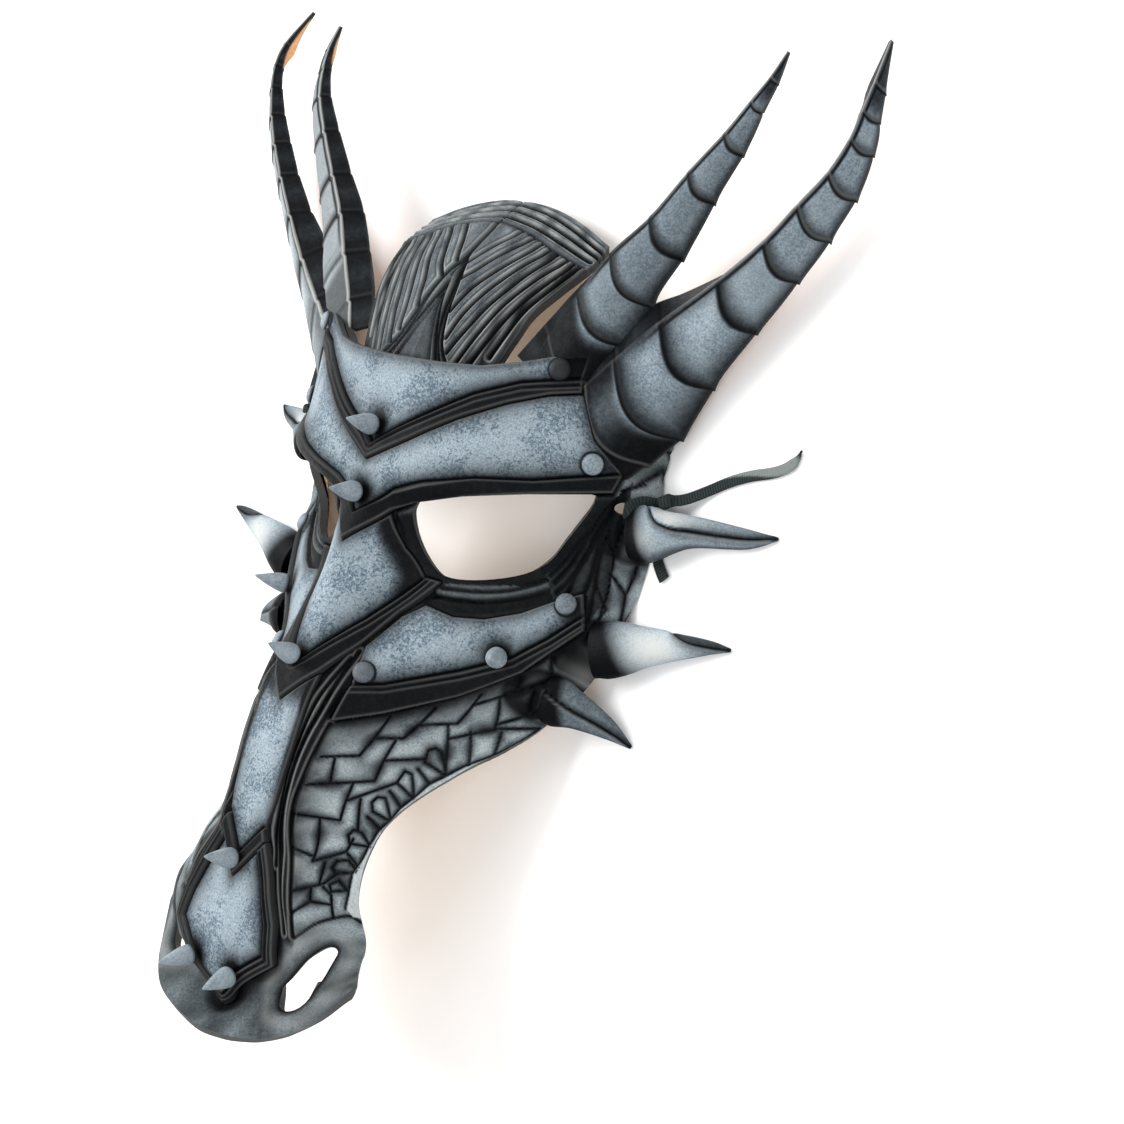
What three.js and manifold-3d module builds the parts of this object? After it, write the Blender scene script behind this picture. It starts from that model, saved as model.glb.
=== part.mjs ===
// A horned leather mask with a long snout, lying face up on the back edges of its temples.
// Millimetres. X runs across the mask (+X is the wearer's left), +Y to the top of the head, +Z up.
import * as THREE from "three";
import Module from "manifold-3d";
import { mergeVertices } from "three/addons/utils/BufferGeometryUtils.js";

const wasm = await Module();
wasm.setup();
const { Manifold, Mesh } = wasm;

// Driving dimensions
const LEATHER = 3; // thickness of the face shell
const PLATE_UNDER = -2.4; // underside of a plate, below the finished face
const SHELL_TOP = -3.4; // shell under the plates, below the finished face
const BAND = 1.1; // how far a plate's border stands up
const RIB = 1.6; // ribs beside the snout plate
const EYE_RIM = 0.4; // leather round the eye
const GROOVE = -0.9; // groove along a border
const GAP = 0.35; // between neighbouring pieces
const HORN_WALL = 2.2; // leather of the rolled horns
const CONE_BASE = 7; // cone studs
const CONE_LENGTH = 12.5;
const DOME = { radius: 3.6, height: 2.2 }; // dome rivets
const TIE_HOLE = 4.6; // hole for the ribbon
const RIBBON = { width: 3.8, thick: 1.5 };

// The mask is drawn upright: x across, u up the face, w out of the face, from the tip of the brow.
// To lie down it leans back by TILT, and its temples then rest on z = 0.
const TILT = THREE.MathUtils.degToRad(8.2);
const LIFT = 56.4;
const SHIFT = -9;

function lay(x, u, w) {
  const y = u * Math.cos(TILT) - w * Math.sin(TILT) + SHIFT;
  const z = u * Math.sin(TILT) + w * Math.cos(TILT) + LIFT;
  return new THREE.Vector3(x, y, z);
}

// Stations of the finished face, from the forehead down: u, then x and w of seven points
// from the centre line round to the back edge. Where a station bends, a point has its own u.
const FACE = [
  [78, [0, -12.5], [16, -14], [32, -19.5], [48, -28], [62, -37], [77, -52], [88, -68]],
  [62, [0, -10], [16, -11.5], [32, -17], [48, -25.5], [62, -34], [77, -50], [87.5, -66]],
  [48, [0, -10], [16, -10.5], [32, -15], [48, -22.5], [62, -32], [77, -47.5], [87, -63]],
  [36, [0, -8.5], [16, -8.5], [31, -11.5], [47, -19], [62, -30], [77, -46], [87.3, -60]],
  [25, [0, -5.5], [14, -5.5], [29, -6.5], [45, -13.5], [61, -26.5], [77, -44], [88.5, -59]],
  [14, [0, -5], [12, -8], [25, -12], [43, -19.5], [60, -31], [76, -45.5], [88.5, -58]],
  [0, [0, 0], [11, -5.5], [22, -16.5], [39, -25], [57, -36.5], [74, -47.5], [87.5, -57.4]],
  [-14, [0, 4.5], [11, -2], [23, -13.5], [39, -20.5], [56, -31], [72, -41], [85.3, -50]],
  [-31, [0, 10], [11, 5], [23, -4.5], [38, -13.5], [54, -24.5], [69, -35], [82.5, -45.5]],
  [-50, [0, 17.5], [12, 15.5], [22, 7], [34, -5], [47, -17.5], [59, -28], [71, -37.5]],
  [-68, [0, 22.5], [12, 21.5], [20, 15], [30, 5.5], [39, -3], [48, -10.5], [56, -16]],
  [-85, [0, 25.5], [12, 25], [18, 20.5], [25, 14], [32, 8], [38, 3], [43.5, -0.5]],
  [-100, [0, 28], [13, 27.5], [18, 24.5], [24, 19], [30, 13.5], [35, 9], [39, 6]],
  [-114, [0, 30.5], [13, 29.8], [20, 29], [26, 27], [33, 21], [38.5, 16], [43, 11.5]],
  [-126, [0, 33], [13, 31.8], [22, 30.5], [29, 28.5], [37, 22.5], [44, 16.5], [49, 11.5]],
  [-139, [0, 35], [13, 34, -138.5], [24, 31.8, -137.5], [32, 28.5, -136], [39, 24.5, -134.5],
    [45.5, 19, -133], [50.6, 14, -132]],
  [-150, [0, 34.5], [11, 34, -149], [21, 31.5, -147], [30, 28.5, -145], [38, 25, -143],
    [45, 20.5, -140.5], [50.8, 15.5, -137.5]],
  [-160, [0, 29, -161], [10, 29, -158.5], [20, 28.5, -155], [29, 26.5, -151.5], [38, 24, -148.5],
    [45, 20.5, -145], [50.5, 17, -140.5]],
  [-167, [0, 39.5, -167.5], [10, 39.5, -166.5], [19, 38.8, -165], [28, 36, -163],
    [36.5, 31, -159.5], [43.5, 25, -153.5], [49.6, 18.6, -143]],
];

// The head crest tucks in behind the forehead and rises to the back of the head.
const CREST = [
  [120, [0, -64.5], [15, -66, 118.5], [30, -65, 114.5], [44.5, -64, 108.5]],
  [112, [0, -55], [16, -56, 111.5], [31, -57, 109], [46, -59, 105]],
  [104, [0, -46], [16, -47], [31, -49, 102], [46, -53, 100]],
  [95, [0, -37.5], [15, -38.5], [30, -41, 94], [43.5, -45.5, 93]],
  [84, [0, -30], [13, -31], [27, -33.5], [39.5, -37.5]],
  [72, [0, -24], [12, -25], [25, -28, 73], [37, -33.5, 75]],
  [60, [0, -20], [11, -20.5], [22, -23.5, 61], [33, -28.5, 62]],
];

function hermite(a, b, slopeA, slopeB, t) {
  const t2 = t * t;
  const t3 = t2 * t;
  return a * (2 * t3 - 3 * t2 + 1) + slopeA * (t3 - 2 * t2 + t)
    + b * (3 * t2 - 2 * t3) + slopeB * (t3 - t2);
}

// A smooth surface through a table of stations: v picks the height, c the point across,
// with whole numbers on the table's own points and a minus sign for the mask's right side.
class Surface {
  constructor(stations) {
    this.v = stations.map((s) => s[0]);
    this.net = stations.map(([u, ...points]) => points.map((p) => [p[0], p[2] ?? u, p[1]]));
    this.last = this.net[0].length - 1;
  }

  row(v) {
    const n = this.v.length;
    let i = 0;
    while (i < n - 2 && v < this.v[i + 1]) i += 1;
    const step = this.v[i + 1] - this.v[i];
    const t = Math.min(Math.max((v - this.v[i]) / step, 0), 1);
    const slope = (k, j, axis) => {
      const a = Math.max(k - 1, 0);
      const b = Math.min(k + 1, n - 1);
      return (step * (this.net[b][j][axis] - this.net[a][j][axis])) / (this.v[b] - this.v[a]);
    };
    return this.net[i].map((p, j) => p.map((value, axis) => hermite(
      value, this.net[i + 1][j][axis], slope(i, j, axis), slope(i + 1, j, axis), t)));
  }

  at(v, c) {
    const row = this.row(v);
    const side = c < 0 ? -1 : 1;
    const across = Math.min(Math.abs(c), this.last);
    const j = Math.min(Math.floor(across), this.last - 1);
    const point = (k) => {
      if (k < 0) return [-row[1][0], row[1][1], row[1][2]];
      if (k > this.last) return row[this.last].map((a, m) => 2 * a - row[this.last - 1][m]);
      return row[k];
    };
    const [x, u, w] = [0, 1, 2].map((m) => hermite(
      point(j)[m], point(j + 1)[m],
      (point(j + 1)[m] - point(j - 1)[m]) / 2, (point(j + 2)[m] - point(j)[m]) / 2, across - j));
    return [side * x, u, w];
  }

  // The place across at which the surface reaches a given x.
  across(v, x) {
    let low = 0;
    let high = this.last;
    for (let i = 0; i < 30; i += 1) {
      const middle = (low + high) / 2;
      if (this.at(v, middle)[0] < Math.abs(x)) low = middle;
      else high = middle;
    }
    return (Math.sign(x) * (low + high)) / 2;
  }

  // A point at a height off the surface, along its normal.
  lifted(v, c, height) {
    const top = this.v[0];
    const bottom = this.v[this.v.length - 1];
    const side = c < 0 ? -1 : 1;
    const inner = side * Math.min(Math.abs(c), this.last - 0.02);
    const above = lay(...this.at(Math.min(v + 0.5, top), c));
    const below = lay(...this.at(Math.max(v - 0.5, bottom), c));
    const up = above.sub(below);
    const out = lay(...this.at(v, inner + 0.02)).sub(lay(...this.at(v, inner - 0.02)));
    return lay(...this.at(v, c)).addScaledVector(out.cross(up).normalize(), height);
  }
}

const face = new Surface(FACE);
const crown = new Surface(CREST);

// Closed bodies from lists of points and faces
function solid(points, faces) {
  const geometry = new THREE.BufferGeometry();
  const numbers = points.flatMap((p) => p.toArray());
  geometry.setAttribute("position", new THREE.Float32BufferAttribute(numbers, 3));
  geometry.setIndex(faces.flat());
  return toManifold(geometry);
}

function toManifold(geometry) {
  const plain = new THREE.BufferGeometry();
  plain.setAttribute("position", geometry.getAttribute("position"));
  plain.setIndex(geometry.getIndex());
  const merged = mergeVertices(plain, 1e-4);
  return new Manifold(new Mesh({
    numProp: 3,
    vertProperties: new Float32Array(merged.getAttribute("position").array),
    triVerts: new Uint32Array(merged.getIndex().array),
  }));
}

function toGeometry(body) {
  const mesh = body.getMesh();
  const geometry = new THREE.BufferGeometry();
  geometry.setAttribute("position", new THREE.Float32BufferAttribute(mesh.vertProperties, 3));
  geometry.setIndex(Array.from(mesh.triVerts));
  const flat = geometry.toNonIndexed();
  flat.computeVertexNormals();
  return flat;
}

// A slab between two grids of points: top[i][j] outside, under[i][j] inside, both the same size.
function slab(top, under) {
  const rows = top.length;
  const columns = top[0].length;
  const points = [...top.flat(), ...under.flat()];
  const outer = (i, j) => i * columns + j;
  const inner = (i, j) => rows * columns + i * columns + j;
  const faces = [];
  for (let i = 0; i < rows - 1; i += 1) {
    for (let j = 0; j < columns - 1; j += 1) {
      faces.push([outer(i, j), outer(i + 1, j), outer(i + 1, j + 1)]);
      faces.push([outer(i, j), outer(i + 1, j + 1), outer(i, j + 1)]);
      faces.push([inner(i, j), inner(i + 1, j + 1), inner(i + 1, j)]);
      faces.push([inner(i, j), inner(i, j + 1), inner(i + 1, j + 1)]);
    }
  }
  const wall = (a, b, c, d) => faces.push([a, b, c], [a, c, d]);
  for (let j = 0; j < columns - 1; j += 1) {
    wall(outer(0, j), outer(0, j + 1), inner(0, j + 1), inner(0, j));
    wall(outer(rows - 1, j + 1), outer(rows - 1, j), inner(rows - 1, j), inner(rows - 1, j + 1));
  }
  const last = columns - 1;
  for (let i = 0; i < rows - 1; i += 1) {
    wall(outer(i + 1, 0), outer(i, 0), inner(i, 0), inner(i + 1, 0));
    wall(outer(i, last), outer(i + 1, last), inner(i + 1, last), inner(i, last));
  }
  return solid(points, faces);
}

// The point at a share of the way along a line of [x, v] points, measured across.
function along(line, share) {
  const x = line[0][0] + share * (line[line.length - 1][0] - line[0][0]);
  let k = 0;
  while (k < line.length - 2 && line[k + 1][0] < x) k += 1;
  const [x0, v0] = line[k];
  const [x1, v1] = line[k + 1];
  const t = x1 === x0 ? 0 : (x - x0) / (x1 - x0);
  return [x, v0 + t * (v1 - v0)];
}

// A leather plate on the face. Its lines run from the top edge to the bottom edge, each with
// the height of the plate there, and shares says how the columns are spread along each line.
function plate(lines, shares, { side = 0, under = PLATE_UNDER, grow = 0, surface = face } = {}) {
  const columns = side === 0 ? [...shares.slice(1).reverse().map((s) => -s), ...shares] : shares;
  const grid = (height) => lines.map(({ line, lift }) => columns.map((share) => {
    const [x, v] = along(line, Math.abs(share));
    const mirror = side === 0 ? Math.sign(share) : side;
    const c = surface.across(v, x) * (mirror || 1);
    return surface.lifted(v, c, height ?? lift + grow);
  }));
  const body = slab(grid(), grid(under - grow));
  return body.volume() < 0 ? slab(grid(under - grow), grid()) : body;
}

// Outlines as seen from the front, [x, height on the face], from the centre line outwards
const FOREHEAD_TOP = [[0, 63.5], [22, 64], [36, 65], [47, 68], [58, 72], [66, 74]];
const FOREHEAD_BAND = [[0, 33], [4, 36], [20, 45.5], [36, 55.5], [49, 61.5], [65.5, 65.5]];
const FOREHEAD_LOW = [[0, 27.5], [17, 37], [33, 47], [47, 54.5], [58, 59], [66, 61]];
const BROW_TOP = [[0, 27], [17, 36.5], [33, 46.5], [47, 54], [58, 58.5], [66.5, 60.4]];
const BROW_MIDDLE = [[0, 18], [17, 28], [33, 36], [47, 41], [58, 44], [71.5, 46]];
const BROW_BAND = [[0, 9], [6, 13.5], [14, 19], [29, 24.5], [45, 29], [60, 31], [79, 36.5]];
const BROW_LOW = [[0, -0.3], [13.5, 12], [23, 16.5], [42.5, 22.3], [61.5, 26.6], [78, 30]];
const NOSE_TOP = [[0, -1.3], [13, 10.5]];
const NOSE_MIDDLE = [[0, -18], [18, -0.5]];
const NOSE_LOWER = [[0, -33], [3, -30.5], [15, -15], [22, -5.5]];
const NOSE_BAND = [[0, -42.5], [3, -40], [15, -25], [25, -9]];
const NOSE_LOW = [[0, -55], [11, -43.5], [17.5, -32.5], [22.5, -21.5], [31, -9.5]];
const SNOUT_TOP = [[0, -55.7], [11.3, -44]];
const SNOUT_MIDDLE = [[0, -72], [12, -70]];
const SNOUT_NARROW = [[0, -92], [11, -88]];
const SNOUT_BAND = [[0, -108.5], [9.5, -96.5]];
const SNOUT_LOW = [[0, -116], [11.8, -101]];
const MUZZLE_LINES = [
  [[0, -116.7], [12.2, -101.4]],
  [[0, -121], [18, -112.5]],
  [[0, -130], [24, -126]],
  [[0, -142], [27, -141.5]],
  [[0, -152], [15, -151]],
  [[0, -160.8], [2.5, -160]],
];
const CHEEK_LINES = [
  [[23.5, -22.5], [29, -17.5], [39, -19.5], [48, -18.5], [57.5, -14.5], [65, -9], [72, -5]],
  [[18.5, -33.5], [30, -30], [46, -27.5], [60, -21], [73.5, -8.5]],
  [[20.5, -46], [28, -44.5], [46, -36.5], [59, -29.5], [67.5, -21], [75, -11.7]],
  [[19.5, -58.5], [30.5, -54], [47, -45], [63, -33.5], [76.5, -16.5]],
];
const EYE = [[22, 16], [32, 19.5], [44.5, 22.8], [60, 26], [75, 29], [74.5, 23.5], [66, 9.5],
  [60, 2.2], [53, -3], [42.5, -6.8], [32, -8], [26, -5], [21.3, 1], [20.5, 10.5]];
const NOSTRIL = [[25.5, -160.5], [28.5, -154.2], [34, -144.8], [38, -136.5], [40.5, -130.8],
  [42.5, -129.9], [44.5, -133.2], [43.5, -144.1], [39, -156.1], [36.5, -161.3], [31.5, -162.5]];

const FULL = [0, 0.1, 0.22, 0.37, 0.52, 0.68, 0.84, 1];
const SHORT = [0, 0.25, 0.5, 0.75, 1];

const line = (points, lift = 0) => ({ line: points, lift });
const shifted = (points, by) => points.map(([x, v]) => [x, v + by]);

function foreheadPlate(grow = 0) {
  const lines = [line(FOREHEAD_TOP), line(shifted(FOREHEAD_BAND, 4)), line(shifted(FOREHEAD_BAND, 0.8)),
    line(FOREHEAD_BAND, GROOVE), line(shifted(FOREHEAD_BAND, -0.8), BAND), line(FOREHEAD_LOW, BAND)];
  return plate(lines, FULL, { grow });
}

function browPlate(grow = 0) {
  const lines = [line(BROW_TOP), line(BROW_MIDDLE), line(shifted(BROW_BAND, 1)),
    line(BROW_BAND, GROOVE), line(shifted(BROW_BAND, -1), BAND), line(BROW_LOW, BAND)];
  return plate(lines, FULL, { grow });
}

function nosePlate() {
  const lines = [line(NOSE_TOP), line(NOSE_MIDDLE), line(NOSE_LOWER), line(shifted(NOSE_BAND, 1.2)),
    line(NOSE_BAND, GROOVE), line(shifted(NOSE_BAND, -1.2), BAND), line(NOSE_LOW, BAND)];
  return plate(lines, [0, 0.15, 0.35, 0.6, 0.8, 1]);
}

function snoutPlate() {
  const lines = [line(SNOUT_TOP), line(SNOUT_MIDDLE), line(SNOUT_NARROW), line(shifted(SNOUT_BAND, 1)),
    line(SNOUT_BAND, GROOVE), line(shifted(SNOUT_BAND, -1), BAND), line(SNOUT_LOW, BAND)];
  return plate(lines, SHORT);
}

// The muzzle plate has its border all round, so the border is raised by columns.
function muzzlePlate() {
  const shares = [0, 0.4, 0.74, 0.8, 0.86, 1];
  const columns = [...shares.slice(1).reverse().map((s) => -s), ...shares];
  const height = (share) => {
    const out = Math.abs(share);
    if (out > 0.85) return BAND;
    return out > 0.78 ? GROOVE : 0;
  };
  const grid = (fixed) => MUZZLE_LINES.map((points) => columns.map((share) => {
    const [x, v] = along(points, Math.abs(share));
    return face.lifted(v, face.across(v, x) * (Math.sign(share) || 1), fixed ?? height(share));
  }));
  return slab(grid(), grid(PLATE_UNDER));
}

function cheekPlate(side) {
  const [top, middle, band, low] = CHEEK_LINES;
  const lines = [line(top), line(middle), line(shifted(band, 1.2)), line(band, GROOVE),
    line(shifted(band, -1.2), 0.2), line(low, 0.2)];
  const shares = [0, 0.12, 0.25, 0.38, 0.51, 0.64, 0.77, 0.89, 1];
  return plate(lines, side < 0 ? [...shares].reverse() : shares, { side });
}

// Height of the shell: low under the plates, up to the finished face where it shows.
function shellHeight(v, c) {
  const out = Math.abs(c);
  if (v <= -164) return -0.3;
  if (out > 5.9) return -0.6;
  if (out > 5.3) return v < -62 ? -0.6 : -2.7;
  if (v < -47 && v > -95 && out === 1.4) return RIB;
  if ((v === -42 || v === -104) && out === 1.4) return -1.8;
  if (v < -70 && v > -107 && out > 2) return -0.6;
  if (v < -61 && out > 3.9) return -0.8;
  if (v < -107 && out > 2.9) return -0.5;
  if (v === 10 && out > 2.6) return EYE_RIM;
  if (v === 0 && out > 2.6 && out < 4) return EYE_RIM;
  if (v === -8 && out === 3) return EYE_RIM;
  if (v < -150) return SHELL_TOP - 1.1;
  if (v < 12 && (v < -107 || v > -61)) return SHELL_TOP - 0.8;
  return SHELL_TOP;
}

// A cutter over an outline of [x, v], square to the leather all round, between two heights.
// It is drawn on the left and mirrored for the right.
function cutter(outline, side, low, high) {
  const flat = outline.map(([x, v]) => new THREE.Vector2(x, v));
  const ring = THREE.ShapeUtils.area(flat) < 0 ? [...outline].reverse() : outline;
  const n = ring.length;
  const at = (height) => ring.map(([x, v]) => face.lifted(v, face.across(v, x), height));
  const caps = THREE.ShapeUtils.triangulateShape(ring.map(([x, v]) => new THREE.Vector2(x, v)), []);
  const faces = caps.flatMap(([a, b, c]) => [[a, c, b], [a + n, b + n, c + n]]);
  for (let i = 0; i < n; i += 1) {
    const j = (i + 1) % n;
    faces.push([i, j, j + n], [i, j + n, i + n]);
  }
  const points = [...at(low), ...at(high)].map((p) => new THREE.Vector3(side * p.x, p.y, p.z));
  return solid(points, side < 0 ? faces.map(([a, b, c]) => [a, c, b]) : faces);
}

// A turned body: profile of [radius, height] from the axis and back to it, stood at a place.
function turned(profile, sides, place, direction) {
  const lathe = new THREE.LatheGeometry(profile.map(([r, h]) => new THREE.Vector2(r, h)), sides);
  const turn = new THREE.Quaternion().setFromUnitVectors(new THREE.Vector3(0, 1, 0), direction);
  lathe.applyQuaternion(turn);
  lathe.translate(place.x, place.y, place.z);
  const body = toManifold(lathe);
  if (body.volume() > 0) return body;
  const index = lathe.getIndex();
  for (let i = 0; i < index.count; i += 3) {
    const a = index.getX(i);
    index.setX(i, index.getX(i + 1));
    index.setX(i + 1, a);
  }
  return toManifold(lathe);
}

function spot(x, v, height) {
  const c = face.across(v, x);
  const place = face.lifted(v, c, height);
  const direction = face.lifted(v, c, height + 1).sub(place).normalize();
  return { place, direction };
}

const TIE_SPOT = [81.5, 25];

function shellBody() {
  const rows = [74, 62, 48, 34, 22, 10, 0, -8, -15, -23, -33, -42, -52, -64, -77, -90, -104,
    -114, -124, -133, -142, -150, -157, -161.5, -164.5, -167];
  const half = [0, 0.6, 1.1, 1.4, 1.7, 2.3, 3, 3.8, 4.6, 5.4, 6];
  const columns = [...half.slice(1).reverse().map((c) => -c), ...half];
  const edge = (c) => along(FOREHEAD_TOP, Math.min(Math.abs(face.at(74, c)[0]) / 66, 1))[1] - 1;
  const level = (v, c) => (v <= 50 ? v : 50 + ((v - 50) * (edge(c) - 50)) / 24);
  const point = (v, c, drop) => face.lifted(level(v, c), c, shellHeight(v, c) - drop);
  const grid = (drop) => rows.map((v) => columns.map((c) => point(v, c, drop)));
  return slab(grid(0), grid(LEATHER));
}

function faceShell() {
  let body = shellBody();
  for (const side of [-1, 1]) {
    body = body.subtract(cutter(EYE, side, -13, 8)).subtract(cutter(NOSTRIL, side, -6.5, 4));
    const { place, direction } = spot(side * TIE_SPOT[0], TIE_SPOT[1], -9);
    const drill = [[0, 0], [TIE_HOLE / 2, 0], [TIE_HOLE / 2, 14], [0, 14]];
    body = body.subtract(turned(drill, 8, place, direction));
  }
  return body.trimByPlane([0, 0, 1], 0);
}

function crestCap() {
  const rows = [120, 112, 102, 89, 75, 60];
  const half = [0, 0.12, 0.35, 0.65, 0.95, 1.25, 1.55, 1.85, 2.15, 2.45, 2.75, 3];
  const columns = [...half.slice(1).reverse().map((c) => -c), ...half];
  const strand = (v, c) => {
    const k = half.indexOf(Math.abs(c));
    if (k === 0) return v < 88 ? 0 : -1;
    if (v < 86 && k < 4 - (v - 60) / 8) return 0;
    return k % 2 === 1 ? 0.9 : -0.6;
  };
  const grid = (height) => rows.map((v) => columns.map((c) => crown.lifted(v, c, height ?? strand(v, c))));
  return slab(grid(), grid(-3));
}

// A horn: leather folded along a ridge, with a flank behind it and a front of bulging rings, and
// left open at the back. Its rows run from the root to the tip, one for each
// joint between two rings: [x, u, w] of the ridge and the width of the front. The front can lean
// back about the ridge, fully so from the third row.
function horn(rows, side, { lean, swelling }) {
  const ridge = new THREE.CatmullRomCurve3(rows.map(([x, u, w]) => lay(side * x, u, w)), false, "chordal");
  const outward = lay(side * 0.66, -0.6, -0.4).sub(lay(0, 0, 0));
  const stations = [[0, 0, 1]];
  for (let i = 1; i < rows.length - 1; i += 1) {
    if (rows[i][3] > 6) stations.push([i, -0.08, 0.94]);
    stations.push([i, 0, 1]);
  }
  stations.push([rows.length - 1, 0, 1]);
  const top = [];
  const under = [];
  for (const [i, past, swell] of stations) {
    const t = (i + past) / (rows.length - 1);
    const wide = (rows[i][3] + past * (rows[i][3] - rows[Math.max(i - 1, 0)][3])) * swell;
    const ahead = ridge.getTangent(t);
    const across = outward.clone().addScaledVector(ahead, -outward.dot(ahead)).normalize();
    const back = side * THREE.MathUtils.degToRad(lean * Math.min((i + past) / 3, 1));
    across.applyAxisAngle(ahead, back);
    const front = new THREE.Vector3().crossVectors(across, ahead).multiplyScalar(side).normalize();
    const folded = lean * THREE.MathUtils.clamp(i + past - 3, 0, 1);
    const turn = THREE.MathUtils.degToRad(40 + 45 * Math.min(t / 0.3, 1) + folded);
    const flank = 1 + 0.33 * wide;
    const wall = Math.min(HORN_WALL, wide * 0.28);
    const point = (a, b, c) => ridge.getPoint(t)
      .addScaledVector(across, a).addScaledVector(front, b).addScaledVector(ahead, c);
    const shape = (inset) => {
      const width = wide - 2 * inset;
      const bulge = swelling * wide - inset;
      const arc = (s) => {
        const swollen = -inset * 0.5 + bulge * Math.sin(Math.PI * s);
        return point(inset + s * width, swollen, -0.06 * wide);
      };
      return [
        point(inset * 1.2 - flank * Math.cos(turn), -flank * Math.sin(turn) - inset * 0.3, 0),
        point(inset, -inset * 0.9, 0),
        arc(0.22), arc(0.5), arc(0.78),
        point(wide - inset, -0.06 * wide - inset * 0.6, 0),
      ];
    };
    top.push(shape(0));
    under.push(shape(wall));
  }
  const body = slab(top, under);
  return body.volume() < 0 ? slab(under, top) : body;
}

// A side spike: a leather cone flattened front to back. Points are [x, u, w, height, depth]. On the
// right the upper one is shorter and sits higher, and the two below it sit a little lower.
function spike(level, side) {
  const sides = 8;
  const { shorter, drop } = side < 0 ? RIGHT_SPIKES[level] : { shorter: 1, drop: 0 };
  const root = SPIKES[level][0][0];
  const axis = SPIKES[level].map(([x, u, w, ...size]) => [
    root + (x - root) * shorter, u - drop, w + drop * Math.sin(TILT), ...size]);
  const curve = new THREE.CatmullRomCurve3(axis.map(([x, u, w]) => lay(side * x, u, w)));
  const steps = 6;
  const points = [];
  for (let i = 0; i <= steps; i += 1) {
    const t = i / steps;
    const k = Math.min(Math.floor(t * (axis.length - 1)), axis.length - 2);
    const f = t * (axis.length - 1) - k;
    const tall = axis[k][3] + f * (axis[k + 1][3] - axis[k][3]);
    const deep = axis[k][4] + f * (axis[k + 1][4] - axis[k][4]);
    const ahead = curve.getTangent(t);
    const up = new THREE.Vector3(0, 1, 0).addScaledVector(ahead, -ahead.y).normalize();
    const out = new THREE.Vector3().crossVectors(ahead, up);
    for (let j = 0; j < sides; j += 1) {
      const angle = (2 * Math.PI * j) / sides;
      points.push(curve.getPoint(t)
        .addScaledVector(up, (tall / 2) * Math.cos(angle))
        .addScaledVector(out, (deep / 2) * Math.sin(angle)));
    }
  }
  return tube(points, sides);
}

// A closed tube through rings of points, with a fan over each end.
function tube(points, sides) {
  const rings = points.length / sides;
  const faces = [];
  for (let i = 0; i < rings - 1; i += 1) {
    for (let j = 0; j < sides; j += 1) {
      const a = i * sides + j;
      const b = i * sides + ((j + 1) % sides);
      faces.push([a, b, b + sides], [a, b + sides, a + sides]);
    }
  }
  for (let j = 1; j < sides - 1; j += 1) {
    faces.push([0, j + 1, j]);
    const end = (rings - 1) * sides;
    faces.push([end, end + j, end + j + 1]);
  }
  const body = solid(points, faces);
  return body.volume() > 0 ? body : solid(points, faces.map(([a, b, c]) => [a, c, b]));
}

const FRONTS = { lower: { lean: 22, swelling: 0.17 }, upper: { lean: 0, swelling: 0.22 } };
const LOWER_HORN = [[57, 54, -37, 32], [65.8, 63.5, -38.4, 33.4], [76.4, 74.1, -39.5, 35],
  [91.1, 88.3, -42, 29.4], [107.8, 103.7, -47, 22], [120.6, 117.5, -50.6, 17.7],
  [129.6, 129.5, -52.9, 16], [137.2, 140.4, -55.7, 12.9], [141.9, 151.1, -57.8, 9.5],
  [143.6, 159.7, -59.4, 7.3], [143.9, 168.5, -63, 5.6], [140.7, 182.8, -72.7, 1.4]];
const UPPER_HORN = [[46, 66, -31.5, 22], [50.8, 76.7, -33.7, 24], [59.5, 92.7, -36.1, 24.5],
  [68.4, 107.2, -39.4, 22.4], [79.8, 120.4, -43.1, 17.3], [90.8, 135.8, -45.7, 13.2],
  [100.2, 148.8, -49, 9.5], [105.4, 159.5, -53, 6], [108.5, 167.5, -57, 3.8], [110, 176.5, -62.1, 1.2]];
const SPIKES = {
  upper: [[84, 17, -52, 19, 12], [94, 19.5, -53.5, 16, 11], [106, 22.5, -55.5, 10.5, 8],
    [126, 24.3, -58.3, 6.5, 3.8], [137, 26.6, -60, 1.2, 1.2]],
  middle: [[80, -23, -46, 20, 10], [96.5, -18, -49, 13.5, 9], [110, -14.5, -51, 9, 6],
    [122, -11.8, -53, 4.5, 3.4], [129.3, -11, -54.5, 1.2, 1.2]],
  lower: [[69, -41, -37, 17, 9], [80, -43, -41, 12.5, 7.5], [91, -46.5, -45, 7, 4.5],
    [99, -51, -48.9, 1.2, 1.2]],
};

const RIGHT_SPIKES = {
  upper: { shorter: 0.58, drop: -2 },
  middle: { shorter: 1, drop: 4 },
  lower: { shorter: 1, drop: 3.5 },
};

// Cone studs, [x, height on the face], and dome rivets
const CONES = {
  forehead: [0, 38.5],
  brow: [0, 15.5],
  nose: [0, -41],
  snout: [0, -110.5],
  muzzle_left: [10.7, -148],
  muzzle_right: [-10.7, -148],
  cheek_left: [55.5, -30],
  cheek_right: [-55.5, -30],
};
const RIVETS = {
  forehead: [59.3, 67.5],
  brow: [72, 38.5],
  cheek_upper: [69, -9.5],
  cheek_front: [22, -42],
};

function cone([x, v]) {
  const { place, direction } = spot(x, v, BAND + GAP);
  const r = CONE_BASE / 2;
  const profile = [[0, 0], [r, 0], [r * 0.7, 6.5], [0, CONE_LENGTH]];
  return turned(profile, 8, place, direction);
}

function rivet([x, v]) {
  const { place, direction } = spot(x, v, BAND + GAP);
  const { radius, height } = DOME;
  return turned([[0, 0], [radius, 0], [radius * 0.8, height * 0.65], [0, height]], 8, place, direction);
}

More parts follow.
